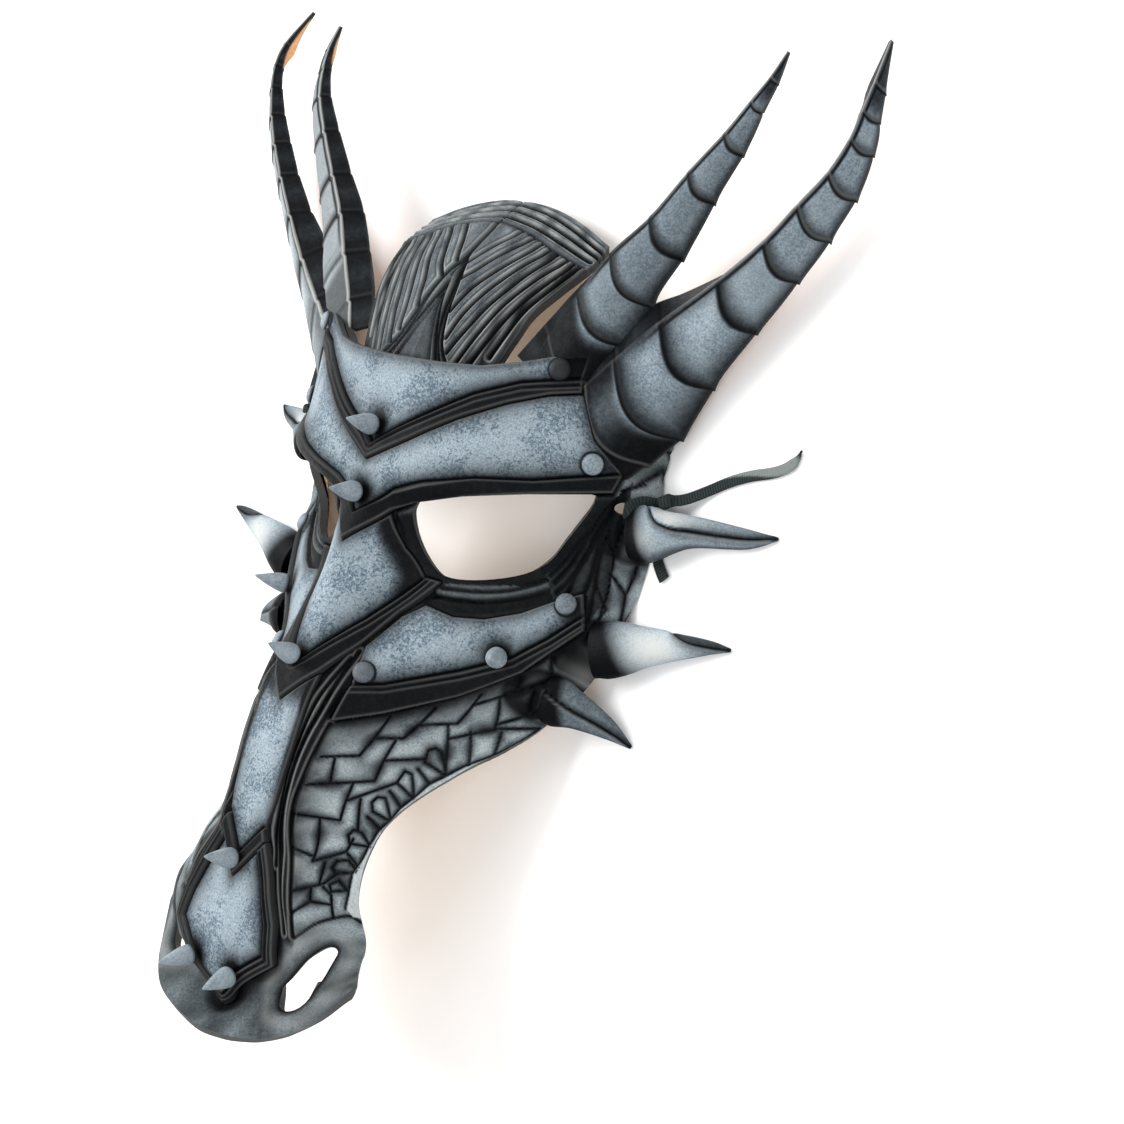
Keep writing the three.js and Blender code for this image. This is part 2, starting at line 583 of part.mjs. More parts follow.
// The ribbon on each side: a strap from the hole to the edge, a knot on the edge and a loose end
// that lies flat on the floor. The routes are in the lying position, [x, y, z]: the left one swings
// out to the side, the right one runs up beside the temple.
const KNOT = { x: 92.9, u: 30, w: -56, radius: 3.4, flat: 0.9 };
const RIBBON_ROUTES = {
  left: [[96.8, 29.9, 4.1], [99.8, 31.4, 3], [103.4, 33.8, 1.8], [107.5, 36.5, 0.95],
    [111.5, 38.9, 0.85], [115.5, 40.9, 0.85], [119.5, 42.6, 0.85], [123.5, 44, 0.85], [127.3, 45.1, 0.85],
    [130.8, 46.5, 0.85], [133.6, 48, 0.85], [135.7, 49.8, 0.85], [137.1, 52, 0.85], [137.9, 54.6, 0.85]],
  right: [[-95, 32.2, 4], [-97, 34.5, 3.2], [-98.4, 37.2, 2.3], [-99.1, 40.2, 1.5],
    [-99.2, 43.3, 1.15], [-98.9, 46.4, 1.1], [-98.3, 49.6, 1.1], [-97.7, 52.8, 1.1],
    [-97.4, 56, 1.1], [-97.6, 59.1, 1.1], [-98.6, 62.1, 1.1], [-100.3, 64.8, 1.1]],
};

function ribbon(name) {
  const route = RIBBON_ROUTES[name].map((point) => new THREE.Vector3(...point));
  const path = new THREE.CatmullRomCurve3(route);
  const a = RIBBON.thick / 2;
  const b = RIBBON.width / 2;
  const section = [[a, -b * 0.9], [a, b * 0.9], [a / 2, b], [-a / 2, b], [-a, b * 0.9], [-a, -b * 0.9],
    [-a / 2, -b], [a / 2, -b]];
  const shape = new THREE.Shape(section.map(([x, y]) => new THREE.Vector2(x, y)));
  const steps = route.length - 1;
  return toManifold(new THREE.ExtrudeGeometry(shape, { steps, bevelEnabled: false, extrudePath: path }));
}

function tieKnot(side) {
  const rim = lay(side * 4.6, 1.6, 3).sub(lay(0, 0, 0));
  const places = [[5.42, 0], [5.7, 0], [6, 0], [6, 1]];
  const grid = (height) => [2.9, 0, -2.9].map((dv) => places.map(([c, past]) => face
    .lifted(TIE_SPOT[1] + 2.5 + dv * (1 - 0.5 * past), side * c, height).addScaledVector(rim, past)));
  const strap = slab(grid(1.9), grid(0.2));
  const band = strap.volume() > 0 ? strap : slab(grid(0.2), grid(1.9));
  const { place, direction } = spot(side * TIE_SPOT[0], TIE_SPOT[1], -6);
  const r = TIE_HOLE / 2 - GAP;
  const peg = turned([[0, 0], [r, 0], [r, 7.5], [0, 7.5]], 8, place, direction);
  const ball = new THREE.SphereGeometry(KNOT.radius, 8, 6);
  ball.scale(1, 1, KNOT.flat);
  ball.translate(...lay(side * KNOT.x, KNOT.u, KNOT.w).toArray());
  return Manifold.union([band, peg, toManifold(ball)]);
}

const COLOURS = {
  silver: { color: 0x9fb2bf, roughness: 0.5, metalness: 0.25 },
  dark: { color: 0x2a2f33, roughness: 0.55, metalness: 0.15 },
  scale: { color: 0x6d7672, roughness: 0.6, metalness: 0.1 },
  ribbon: { color: 0x1f2926, roughness: 0.8, metalness: 0 },
};

const mask = new THREE.Group();
mask.name = "dragon_mask";

function add(name, body, look) {
  const mesh = new THREE.Mesh(toGeometry(body), new THREE.MeshStandardMaterial(COLOURS[look]));
  mesh.name = name;
  mask.add(mesh);
}

const largest = (body) => body.decompose().sort((a, b) => b.volume() - a.volume())[0];

// The space a body takes with a gap all round it
function around(body) {
  const axes = [[1, 0, 0], [0, 1, 0], [0, 0, 1]];
  const shifts = axes.flatMap((axis) => [GAP, -GAP].map((by) => axis.map((a) => a * by)));
  return Manifold.union([body, ...shifts.map((shift) => body.translate(shift))]);
}

// What horns and spikes have to stay clear of
const shellSpace = around(shellBody());
const rootSpace = Manifold.union([shellSpace, around(foreheadPlate(9)), around(browPlate(4))]);

const shell = faceShell();

add("face_shell", shell, "scale");
add("forehead_plate", foreheadPlate(), "silver");
add("brow_plate", browPlate(), "silver");
add("nose_plate", nosePlate(), "silver");
add("snout_plate", snoutPlate(), "silver");
add("muzzle_plate", muzzlePlate(), "silver");
add("crest_cap", crestCap(), "dark");

for (const [name, side] of [["left", 1], ["right", -1]]) {
  const knot = largest(tieKnot(side).subtract(around(shell)));
  const lower = largest(horn(LOWER_HORN, side, FRONTS.lower).subtract(rootSpace));
  const upperSpace = Manifold.union(rootSpace, around(lower));
  const upper = largest(horn(UPPER_HORN, side, FRONTS.upper).subtract(upperSpace));
  const spikeSpace = Manifold.union(shellSpace, around(knot));
  add(`cheek_plate_${name}`, cheekPlate(side), "silver");
  add(`horn_lower_${name}`, lower, "silver");
  add(`horn_upper_${name}`, upper, "silver");
  for (const level of Object.keys(SPIKES)) {
    add(`side_spike_${level}_${name}`, largest(spike(level, side).subtract(spikeSpace)), "silver");
  }
  add(`tie_knot_${name}`, knot, "ribbon");
  add(`tie_ribbon_${name}`, ribbon(name), "ribbon");
  for (const [place, [x, v]] of Object.entries(RIVETS)) {
    add(`rivet_${place}_${name}`, rivet([side * x, v]), "silver");
  }
}
for (const [place, at] of Object.entries(CONES)) add(`cone_${place}`, cone(at), "silver");

export default mask;
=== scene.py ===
import math

import bpy
import numpy as np
from mathutils import Matrix, Vector, kdtree


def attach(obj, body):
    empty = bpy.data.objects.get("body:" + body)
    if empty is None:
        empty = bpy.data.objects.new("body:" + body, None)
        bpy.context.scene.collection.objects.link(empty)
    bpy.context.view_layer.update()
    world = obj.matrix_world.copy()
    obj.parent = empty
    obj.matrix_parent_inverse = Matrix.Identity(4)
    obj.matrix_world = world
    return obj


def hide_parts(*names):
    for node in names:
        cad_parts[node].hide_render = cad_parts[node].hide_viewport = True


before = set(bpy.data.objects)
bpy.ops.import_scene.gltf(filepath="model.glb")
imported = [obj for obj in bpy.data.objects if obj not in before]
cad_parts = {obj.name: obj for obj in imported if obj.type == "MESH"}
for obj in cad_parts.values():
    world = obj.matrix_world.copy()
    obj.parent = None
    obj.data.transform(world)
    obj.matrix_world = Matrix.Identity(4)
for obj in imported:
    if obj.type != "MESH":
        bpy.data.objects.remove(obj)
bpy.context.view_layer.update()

bl_info = {
    "name": "Leather dragon mask",
    "version": (1, 0, 0),
    "blender": (4, 5, 0),
    "location": "View3D > Sidebar > Mask",
    "description": "Tooled leather surfaces, horns, studs and ribbons of a dragon mask",
    "category": "Object",
}

MM = 0.001

# The lying pose: how far the face leans back, and how far it is lifted and moved along the floor
TILT = math.radians(8.2)
LIFT = 56.4
SHIFT = -9.0

# Camera: focal length and width of the picture in the picture's own steps, and width of the sensor in mm
FOCAL = 2060
PICTURE = 1124
SENSOR = 36.0

SIDES = (("left", 1), ("right", -1))


def lay(points):
    """Points of x across the mask, u up it and w out of it, laid down on the floor."""
    p = np.asarray(points, float)
    x, u, w = p[..., 0], p[..., 1], p[..., 2]
    y = u * math.cos(TILT) - w * math.sin(TILT) + SHIFT
    z = u * math.sin(TILT) + w * math.cos(TILT) + LIFT
    return np.stack([x, y, z], -1)


def laid_direction(direction):
    """A direction turned like the points that are laid down."""
    return lay(direction) - lay([0.0, 0, 0])


def unit(directions):
    """Directions with a length of 1."""
    return directions / np.linalg.norm(directions, axis=-1, keepdims=True)


# Stations of the face: u, then x and w of seven points from the centre line to the back edge
FACE = [
    [78, [0, -12.5], [16, -14], [32, -19.5], [48, -28], [62, -37], [77, -52], [88, -68]],
    [62, [0, -10], [16, -11.5], [32, -17], [48, -25.5], [62, -34], [77, -50], [87.5, -66]],
    [48, [0, -10], [16, -10.5], [32, -15], [48, -22.5], [62, -32], [77, -47.5], [87, -63]],
    [36, [0, -8.5], [16, -8.5], [31, -11.5], [47, -19], [62, -30], [77, -46], [87.3, -60]],
    [25, [0, -5.5], [14, -5.5], [29, -6.5], [45, -13.5], [61, -26.5], [77, -44], [88.5, -59]],
    [14, [0, -5], [12, -8], [25, -12], [43, -19.5], [60, -31], [76, -45.5], [88.5, -58]],
    [0, [0, 0], [11, -5.5], [22, -16.5], [39, -25], [57, -36.5], [74, -47.5], [87.5, -57.4]],
    [-14, [0, 4.5], [11, -2], [23, -13.5], [39, -20.5], [56, -31], [72, -41], [85.3, -50]],
    [-31, [0, 10], [11, 5], [23, -4.5], [38, -13.5], [54, -24.5], [69, -35], [82.5, -45.5]],
    [-50, [0, 17.5], [12, 15.5], [22, 7], [34, -5], [47, -17.5], [59, -28], [71, -37.5]],
    [-68, [0, 22.5], [12, 21.5], [20, 15], [30, 5.5], [39, -3], [48, -10.5], [56, -16]],
    [-85, [0, 25.5], [12, 25], [18, 20.5], [25, 14], [32, 8], [38, 3], [43.5, -0.5]],
    [-100, [0, 28], [13, 27.5], [18, 24.5], [24, 19], [30, 13.5], [35, 9], [39, 6]],
    [-114, [0, 30.5], [13, 29.8], [20, 29], [26, 27], [33, 21], [38.5, 16], [43, 11.5]],
    [-126, [0, 33], [13, 31.8], [22, 30.5], [29, 28.5], [37, 22.5], [44, 16.5], [49, 11.5]],
    [-139, [0, 35], [13, 34, -138.5], [24, 31.8, -137.5], [32, 28.5, -136], [39, 24.5, -134.5],
     [45.5, 19, -133], [50.6, 14, -132]],
    [-150, [0, 34.5], [11, 34, -149], [21, 31.5, -147], [30, 28.5, -145], [38, 25, -143],
     [45, 20.5, -140.5], [50.8, 15.5, -137.5]],
    [-160, [0, 29, -161], [10, 29, -158.5], [20, 28.5, -155], [29, 26.5, -151.5], [38, 24, -148.5],
     [45, 20.5, -145], [50.5, 17, -140.5]],
    [-167, [0, 39.5, -167.5], [10, 39.5, -166.5], [19, 38.8, -165], [28, 36, -163],
     [36.5, 31, -159.5], [43.5, 25, -153.5], [49.6, 18.6, -143]],
]

# The crest behind the forehead
CREST = [
    [120, [0, -64.5], [15, -66, 118.5], [30, -65, 114.5], [44.5, -64, 108.5]],
    [112, [0, -55], [16, -56, 111.5], [31, -57, 109], [46, -59, 105]],
    [104, [0, -46], [16, -47], [31, -49, 102], [46, -53, 100]],
    [95, [0, -37.5], [15, -38.5], [30, -41, 94], [43.5, -45.5, 93]],
    [84, [0, -30], [13, -31], [27, -33.5], [39.5, -37.5]],
    [72, [0, -24], [12, -25], [25, -28, 73], [37, -33.5, 75]],
    [60, [0, -20], [11, -20.5], [22, -23.5, 61], [33, -28.5, 62]],
]


def hermite(a, b, slope_a, slope_b, t):
    """A smooth step from a to b with the slopes given."""
    t2 = t * t
    t3 = t2 * t
    return (a * (2 * t3 - 3 * t2 + 1) + slope_a * (t3 - 2 * t2 + t)
            + b * (3 * t2 - 2 * t3) + slope_b * (t3 - t2))


class Surface:
    """A smooth surface through a table of stations: v picks the height, c the point across."""

    def __init__(self, stations):
        self.v = np.array([row[0] for row in stations], float)
        net = np.array([[(p[0], p[2] if len(p) > 2 else row[0], p[1]) for p in row[1:]]
                        for row in stations], float)
        mirrored = net[:, 1:2] * (-1, 1, 1)
        beyond = 2 * net[:, -1:] - net[:, -2:-1]
        self.last = net.shape[1] - 1
        self.net = np.concatenate([mirrored, net, beyond], axis=1)
        below = np.maximum(np.arange(len(self.v)) - 1, 0)
        above = np.minimum(np.arange(len(self.v)) + 1, len(self.v) - 1)
        self.slope = ((self.net[above] - self.net[below])
                      / (self.v[above] - self.v[below])[:, None, None])

    def at(self, v, c):
        """The point at height v and c stations out from the middle, before it is laid down."""
        v, c = np.broadcast_arrays(np.asarray(v, float), np.asarray(c, float))
        i = np.clip(np.searchsorted(-self.v, -v, side="right") - 1, 0, len(self.v) - 2)
        step = self.v[i + 1] - self.v[i]
        t = np.clip((v - self.v[i]) / step, 0, 1)[..., None]
        out = np.minimum(np.abs(c), self.last)
        j = np.clip(np.floor(out).astype(int), 0, self.last - 1)
        f = (out - j)[..., None]

        def row(k):
            return hermite(self.net[i, k], self.net[i + 1, k],
                           self.slope[i, k] * step[..., None],
                           self.slope[i + 1, k] * step[..., None], t)

        a, b, d, e = row(j), row(j + 1), row(j + 2), row(j + 3)
        point = hermite(b, d, (d - a) / 2, (e - b) / 2, f)
        point[..., 0] *= np.where(c < 0, -1, 1)
        return point

    def across(self, v, x):
        """How many stations out the surface reaches x at height v."""
        low = np.zeros(np.shape(x))
        high = np.full(np.shape(x), float(self.last))
        for _ in range(24):
            middle = (low + high) / 2
            less = self.at(v, middle)[..., 0] < np.abs(x)
            low = np.where(less, middle, low)
            high = np.where(less, high, middle)
        return np.sign(x) * (low + high) / 2

    def normal(self, v, c):
        """The direction out of the surface, laid down."""
        c = np.asarray(c, float)
        side = np.where(c < 0, -1, 1)
        inner = side * np.minimum(np.abs(c), self.last - 0.02)
        up = lay(self.at(np.minimum(v + 0.5, self.v[0]), c)) - lay(
            self.at(np.maximum(v - 0.5, self.v[-1]), c))
        out = lay(self.at(v, inner + 0.02)) - lay(self.at(v, inner - 0.02))
        return unit(np.cross(out, up))

    def lifted(self, v, c, height=0.0):
        """Laid points at a height above the surface."""
        h = np.asarray(height, float)
        return lay(self.at(v, c)) + self.normal(v, c) * h[..., None]


face = Surface(FACE)
crown = Surface(CREST)

# Lines of the plates as seen from the front, [x, height on the face], from the centre outwards
FOREHEAD_TOP = [[0, 63.5], [22, 64], [36, 65], [47, 68], [58, 72], [66, 74]]
FOREHEAD_BAND = [[0, 33], [4, 36], [20, 45.5], [36, 55.5], [49, 61.5], [65.5, 65.5]]
FOREHEAD_LOW = [[0, 27.5], [17, 37], [33, 47], [47, 54.5], [58, 59], [66, 61]]
BROW_TOP = [[0, 27], [17, 36.5], [33, 46.5], [47, 54], [58, 58.5], [66.5, 60.4]]
BROW_MIDDLE = [[0, 18], [17, 28], [33, 36], [47, 41], [58, 44], [71.5, 46]]
BROW_BAND = [[0, 9], [6, 13.5], [14, 19], [29, 24.5], [45, 29], [60, 31], [79, 36.5]]
BROW_LOW = [[0, -0.3], [13.5, 12], [23, 16.5], [42.5, 22.3], [61.5, 26.6], [78, 30]]
NOSE_TOP = [[0, -1.3], [13, 10.5]]
NOSE_MIDDLE = [[0, -18], [18, -0.5]]
NOSE_LOWER = [[0, -33], [3, -30.5], [15, -15], [22, -5.5]]
NOSE_BAND = [[0, -42.5], [3, -40], [15, -25], [25, -9]]
NOSE_LOW = [[0, -55], [11, -43.5], [17.5, -32.5], [22.5, -21.5], [31, -9.5]]
SNOUT_TOP = [[0, -55.7], [11.3, -44]]
SNOUT_MIDDLE = [[0, -72], [12, -70]]
SNOUT_NARROW = [[0, -92], [11, -88]]
SNOUT_BAND = [[0, -108.5], [9.5, -96.5]]
SNOUT_LOW = [[0, -116], [11.8, -101]]
MUZZLE_LINES = [
    [[0, -116.7], [12.2, -101.4]],
    [[0, -121], [18, -112.5]],
    [[0, -130], [24, -126]],
    [[0, -142], [27, -141.5]],
    [[0, -152], [15, -151]],
    [[0, -160.8], [2.5, -160]],
]
# Plates down the middle: lines from top to bottom, line of the border, half width that sets the points
# across, room between those points, whether a groove runs in the border, and the studs on the plate
MIDDLE_PLATES = {
    "forehead": ([FOREHEAD_TOP, FOREHEAD_BAND, FOREHEAD_LOW], FOREHEAD_BAND, 84, 0.5, True, ["forehead"]),
    "brow": ([BROW_TOP, BROW_MIDDLE, BROW_BAND, BROW_LOW], BROW_BAND, 92, 0.5, False, ["brow"]),
    "nose": ([NOSE_TOP, NOSE_MIDDLE, NOSE_LOWER, NOSE_BAND, NOSE_LOW], NOSE_BAND, 44, 0.5, True, ["nose"]),
    "snout": ([SNOUT_TOP, SNOUT_MIDDLE, SNOUT_NARROW, SNOUT_BAND, SNOUT_LOW], SNOUT_BAND, 14, 0.4, False,
              ["snout"]),
    "muzzle": (MUZZLE_LINES, None, 32, 0.4, True, ["muzzle_left", "muzzle_right"]),
}
MUZZLE_BORDER = 4.8
CHEEK_COLUMNS = 140
CHEEK_LINES = [
    [[23.5, -22.5], [29, -17.5], [39, -19.5], [48, -18.5], [57.5, -14.5], [65, -9], [72, -5]],
    [[18.5, -33.5], [30, -30], [46, -27.5], [60, -21], [73.5, -8.5]],
    [[20.5, -46], [28, -44.5], [46, -36.5], [59, -29.5], [67.5, -21], [75, -11.7]],
    [[19.5, -58.5], [30.5, -54], [47, -45], [63, -33.5], [76.5, -16.5]],
]
EYE = [[22, 16], [32, 19.5], [44.5, 22.8], [60, 26], [75, 29], [74.5, 23.5], [66, 9.5], [60, 2.2],
       [53, -3], [42.5, -6.8], [32, -8], [26, -5], [21.3, 1], [20.5, 10.5]]
NOSTRIL = [[25.5, -160.5], [28.5, -154.2], [34, -144.8], [38, -136.5], [40.5, -130.8], [42.5, -129.9],
           [44.5, -133.2], [43.5, -144.1], [39, -156.1], [36.5, -161.3], [31.5, -162.5]]
TIE_SPOT = [81.5, 25]
TIE_HOLE = 2.3

# Tooled lines on the left half of the face, [x, height on the face]: scales of the jaw
SCALE_CUTS = [
    [[20, -70.5], [29, -68.5], [31, -62], [32.5, -54.5]],
    [[31, -62], [37.5, -61], [40, -55.5], [42, -50]],
    [[40, -56], [48.5, -54], [52.5, -43.5]],
    [[18, -80.5], [24, -79], [34.5, -76], [35, -69.5], [36, -62]],
    [[23.5, -70.5], [24, -79]],
    [[35, -69], [44.5, -66.5]],
    [[17, -90.5], [29, -90.5], [29, -84], [29.5, -77.5]],
    [[29.5, -83.5], [40, -75.5]],
    [[24, -91], [26.5, -104], [33, -100], [33.5, -96]],
    [[19.5, -101], [25.5, -102.5]],
    [[32.5, -82.5], [34, -93]],
    [[26.5, -113.5], [32.5, -110], [34, -106.5]],
    [[29.5, -104], [31.5, -110]],
    [[28, -121], [32, -116], [37, -116]],
    [[32, -116], [30.5, -112]],
    [[33, -111], [36, -113], [39, -119.5]],
    [[46.5, -55], [49.5, -64], [51.5, -70]],
    [[51, -47.5], [57.5, -43.5], [67, -38], [71.5, -34.5]],
    [[57.5, -44], [58, -54]],
    [[67, -38.5], [65.5, -48], [71, -45.5]],
    [[58, -52.5], [65.5, -48]],
    [[48, -59], [59, -53.5], [69, -51.5]],
    [[52.5, -56], [56.5, -66]],
    [[60, -54.5], [61.5, -62.5]],
    [[69.5, -27], [71.5, -35]],
    [[62, -35.5], [62, -41]],
    [[52, -70.5], [48, -63.5], [46, -62.5], [44.5, -63.5], [45, -67.5], [52, -70.5]],
    [[48.5, -74], [44, -70]],
    [[46, -79.5], [43, -72], [41, -71.3], [40, -75.5], [46, -79.5]],
    [[43.5, -83], [39, -78.5]],
    [[42, -87.5], [38.5, -81], [36.5, -81], [35.5, -83], [36.5, -86], [42, -88]],
    [[40, -91.5], [35.5, -88]],
    [[38.5, -97.5], [35, -93.5], [33, -93], [32, -95], [33, -97.5], [38.5, -97.5]],
    [[38, -104], [33.5, -100.5]],
    [[38, -105], [34.5, -102.3], [32, -103], [32, -105], [33.5, -106.5], [38, -105.5]],
    [[39, -111], [35.5, -108.5], [34, -110], [35.5, -112], [39, -111]],
]
RIM_CUT = [[41, -116.5], [40, -112.5], [37.5, -106], [38, -97.5], [39.5, -92], [42, -87.5], [43.5, -83],
           [46, -79], [48.5, -74], [52, -70.5], [55.5, -66.5], [62, -61], [67, -55], [69.5, -51.5]]
FLANGE_CUT = [[30.5, -130], [32, -128], [35.5, -122.5], [40, -119.5], [43, -118.6], [46, -120]]
TEMPLE_CUTS = [
    [[77.5, 2.5], [83, -3], [85, 7]],
    [[83, -3], [85.3, -12.5]],
    [[77.5, 14], [79.3, 10], [77.8, 2], [78.5, -8], [80, -18.5]],
    [[75, -2.5], [79.5, -8.5], [77.5, -19.5]],
    [[81.5, 18.5], [79.3, 10]],
    [[82.5, 33], [86.5, 39], [88, 36]],
    [[80, 42], [84, 48], [87.5, 44]],
    [[84, 48], [82, 56], [87, 60]],
    [[80, 31], [84, 34]],
]
FAN_CUTS = [
    [[80.5, 32], [75, 19], [68, 8], [61.5, -1]],
    [[80.5, 31], [71.5, 11.5], [63, -3]],
    [[80.5, 30], [73, 10], [64.5, -6]],
    [[80.7, 30], [76.5, 16], [69, 2.5], [67.5, -6]],
    [[80.8, 29], [74, 6.5], [71.5, -8]],
    [[81, 29], [77.5, 14.5], [74.5, 5], [74.5, -2.5], [76, -13]],
]
EYE_RIM_CUTS = [
    [[14, 12], [16.5, 6], [18.5, -3], [25, -9.5]],
    [[32, -11.2], [45.5, -9.8], [54, -7], [61.5, -2.5]],
    [[30, -14], [38, -13.8], [46.5, -12.7], [55.5, -9.5], [62.5, -5.5]],
]
RIM_CRACK = [[58.5, 1.5], [64.3, -7.5]]
RIB_CUTS = [
    [[16.5, -37.5], [14, -53.5], [12.8, -67], [12.3, -81.5], [14.5, -96], [17, -107.5]],
    [[17.5, -35], [16.5, -53], [14.8, -66], [14, -79.5], [15, -92], [19, -107.5], [27.5, -128]],
    [[19.7, -59.5], [17.7, -75.5], [17, -88], [19.5, -100], [26.5, -115], [31, -128.5]],
]
# Fan of lines beside the eye
FAN = [[81.5, 34], [74, 17], [60, -1], [64, -8], [77, -15], [79, 10], [82, 30]]
EYE_STRIP = [[31, -10], [55, -6], [62, -2], [63, -6], [47, -13], [30, -14]]
# How far out the dark band along the snout reaches: minus the height on the face, then x
SNOUT_EDGE = [[30, 47, 60, 75, 88, 100, 115, 130, 150], [20, 21, 19.7, 17.7, 17, 19.5, 26.5, 31.5, 34]]
# Strands of the crest, [point across, height], left half
CREST_CUTS = [
    [[0.85, 109], [0.5, 103], [0.22, 97]],
    [[1.3, 108], [0.9, 101], [0.62, 95], [0.35, 91]],
    [[1.6, 107], [1.25, 98], [0.9, 89], [0.68, 80]],
    [[1.9, 106], [1.6, 98], [1.33, 88], [1.1, 78], [1.0, 71]],
    [[2.15, 105.5], [1.92, 97], [1.72, 86], [1.5, 76], [1.25, 66]],
    [[2.45, 104.5], [2.22, 96], [2.05, 85], [1.85, 73], [1.7, 62]],
    [[2.65, 104], [2.52, 94], [2.42, 83], [2.25, 72], [2.15, 62]],
    [[2.83, 103.5], [2.76, 94], [2.72, 84], [2.64, 74], [2.6, 65]],
]
CREST_STRIPS = [
    [[0, 120], [0.02, 108], [0.06, 98], [0.3, 88], [0.5, 78], [0.78, 69], [1.3, 60]],
    [[0.12, 97], [0.42, 87], [0.66, 77], [0.98, 68], [1.55, 60]],
    [[0, 86], [0.1, 80], [0.45, 70], [0.85, 60]],
    [[0, 90], [0.2, 82], [0.56, 72], [1.1, 60]],
]
CREST_REAR = [[0, 111.3], [0.9, 109.3], [1.9, 106.6], [2.9, 103.8]]
CREST_REAR_CUTS = [
    [[0, 114], [1, 112], [2.1, 109.7], [2.9, 107.5]],
    [[0, 116.5], [1.1, 114.6], [2.1, 112.8], [3, 110.5]],
    [[0, 118.6], [1.2, 117.3], [2.1, 116], [3, 114]],
]

# Horns: lean of the front in degrees, share of the width it swells by, ring where the black root ends,
# overall shade, and how far the raw back edge stands out near the tip
FRONTS = {"lower": (22, 0.17, 2.05, 0.0, 2.4), "upper": (0, 0.22, 2.0, 0.22, 0.9)}
# Joints of the horns from the root: x, u and w of the ridge, and the width of the front
LOWER_HORN = [[57, 54, -37, 32], [65.8, 63.5, -38.4, 33.4], [76.4, 74.1, -39.5, 35], [91.1, 88.3, -42, 29.4],
              [107.8, 103.7, -47, 22], [120.6, 117.5, -50.6, 17.7], [129.6, 129.5, -52.9, 16],
              [137.2, 140.4, -55.7, 12.9], [141.9, 151.1, -57.8, 9.5], [143.6, 159.7, -59.4, 7.3],
              [143.9, 168.5, -63, 5.6], [140.7, 182.8, -72.7, 1.4]]
UPPER_HORN = [[46, 66, -31.5, 22], [50.8, 76.7, -33.7, 24], [59.5, 92.7, -36.1, 24.5],
              [68.4, 107.2, -39.4, 22.4], [79.8, 120.4, -43.1, 17.3], [90.8, 135.8, -45.7, 13.2],
              [100.2, 148.8, -49, 9.5], [105.4, 159.5, -53, 6], [108.5, 167.5, -57, 3.8],
              [110, 176.5, -62.1, 1.2]]
# Points along the spikes from the root: x, u, w, height and depth
SPIKES = {
    "upper": [[84, 17, -52, 19, 12], [94, 19.5, -53.5, 16, 11], [106, 22.5, -55.5, 10.5, 8],
              [126, 24.3, -58.3, 6.5, 3.8], [137, 26.6, -60, 1.2, 1.2]],
    "middle": [[80, -23, -46, 20, 10], [96.5, -18, -49, 13.5, 9], [110, -14.5, -51, 9, 6],
               [122, -11.8, -53, 4.5, 3.4], [129.3, -11, -54.5, 1.2, 1.2]],
    "lower": [[69, -41, -37, 17, 9], [80, -43, -41, 12.5, 7.5], [91, -46.5, -45, 7, 4.5],
              [99, -51, -48.9, 1.2, 1.2]],
}
# What the right spikes' length is multiplied by, and how much lower they sit
RIGHT_SPIKES = {"upper": (0.58, -2), "middle": (1, 4), "lower": (1, 3.5)}
# Where each rolled edge lies: share of the length, angle from the top towards the front
SPIKE_SEAMS = {"upper": [[0, 0], [0.16, 5], [0.25, 60], [0.42, 88], [0.6, 95], [1, 88]],
               "middle": [[0, -30], [0.45, -12], [0.52, 40], [0.62, 72], [0.8, 95], [1, 95]],
               "lower": [[0, 70], [0.3, 92], [0.7, 96], [1, 90]]}
# Share of the length where the fold comes in, softness of the shade on the flap and how black it is at
# the root and at the tip, painted shade along the lower edge, and overall shade
SPIKE_PAINT = {"upper": ((0.1, 0.22), 2.2, 0.25, 0.65, 0.62, 0.15),
               "middle": ((0.44, 0.5), 9.0, 0.75, 0, 0.1, 0.0),
               "lower": ((0.0, 0.1), 3.0, 0.85, 0, 0.75, 0.4)}
# Studs on the face, [x, height on the face], and how black the left rivets are
CONES = {"forehead": [0, 38.5], "brow": [0, 15.5], "nose": [0, -41], "snout": [0, -110.5],
         "muzzle_left": [10.7, -148], "muzzle_right": [-10.7, -148],
         "cheek_left": [55.5, -30], "cheek_right": [-55.5, -30]}
RIVETS = {"forehead": [59.3, 67.5], "brow": [72, 38.5], "cheek_upper": [69, -9.5],
          "cheek_front": [22, -42]}
STUD_SHADE = {"forehead": 0.95, "brow": 0.1, "cheek_upper": 0.45, "cheek_front": 0.6}
# Height of their feet above the face, radius of a cone's foot, and how far the painted shade round it reaches
STUD_SEAT = 1.45
CONE_FOOT = 3.6
CONE_SHADE = 7
STUD_SIDES = 40
# Outlines of the studs from the foot to the top: radius, height
CONE_OUTLINE = [[2.6, -0.3], [3.1, 0.0], [3.45, 0.6], [3.6, 1.5], [3.5, 2.6], [3.2, 4.2], [2.75, 5.8],
                [2.2, 7.5], [1.6, 9.2], [1.0, 10.8], [0.5, 12.0], [0.18, 12.5], [0.0, 12.55]]
DOME_OUTLINE = [[3.2, -0.3], [3.65, 0.0], [3.6, 0.45], [3.3, 1.0], [2.7, 1.55], [1.9, 1.95], [1.0, 2.15],
                [0.0, 2.2]]
# Middle of the left knot, and its short end
KNOT = [92.9, 30.0, -56.0]
SHORT_END = [[91, 24, 2.0], [90.5, 16, 0.9], [91, 10, 0.9], [93.5, 6.2, 0.9], [96, 3.6, 0.9]]
# Width of the strip in mm inside its rounded edges
STRIP_WIDTH = 3.7
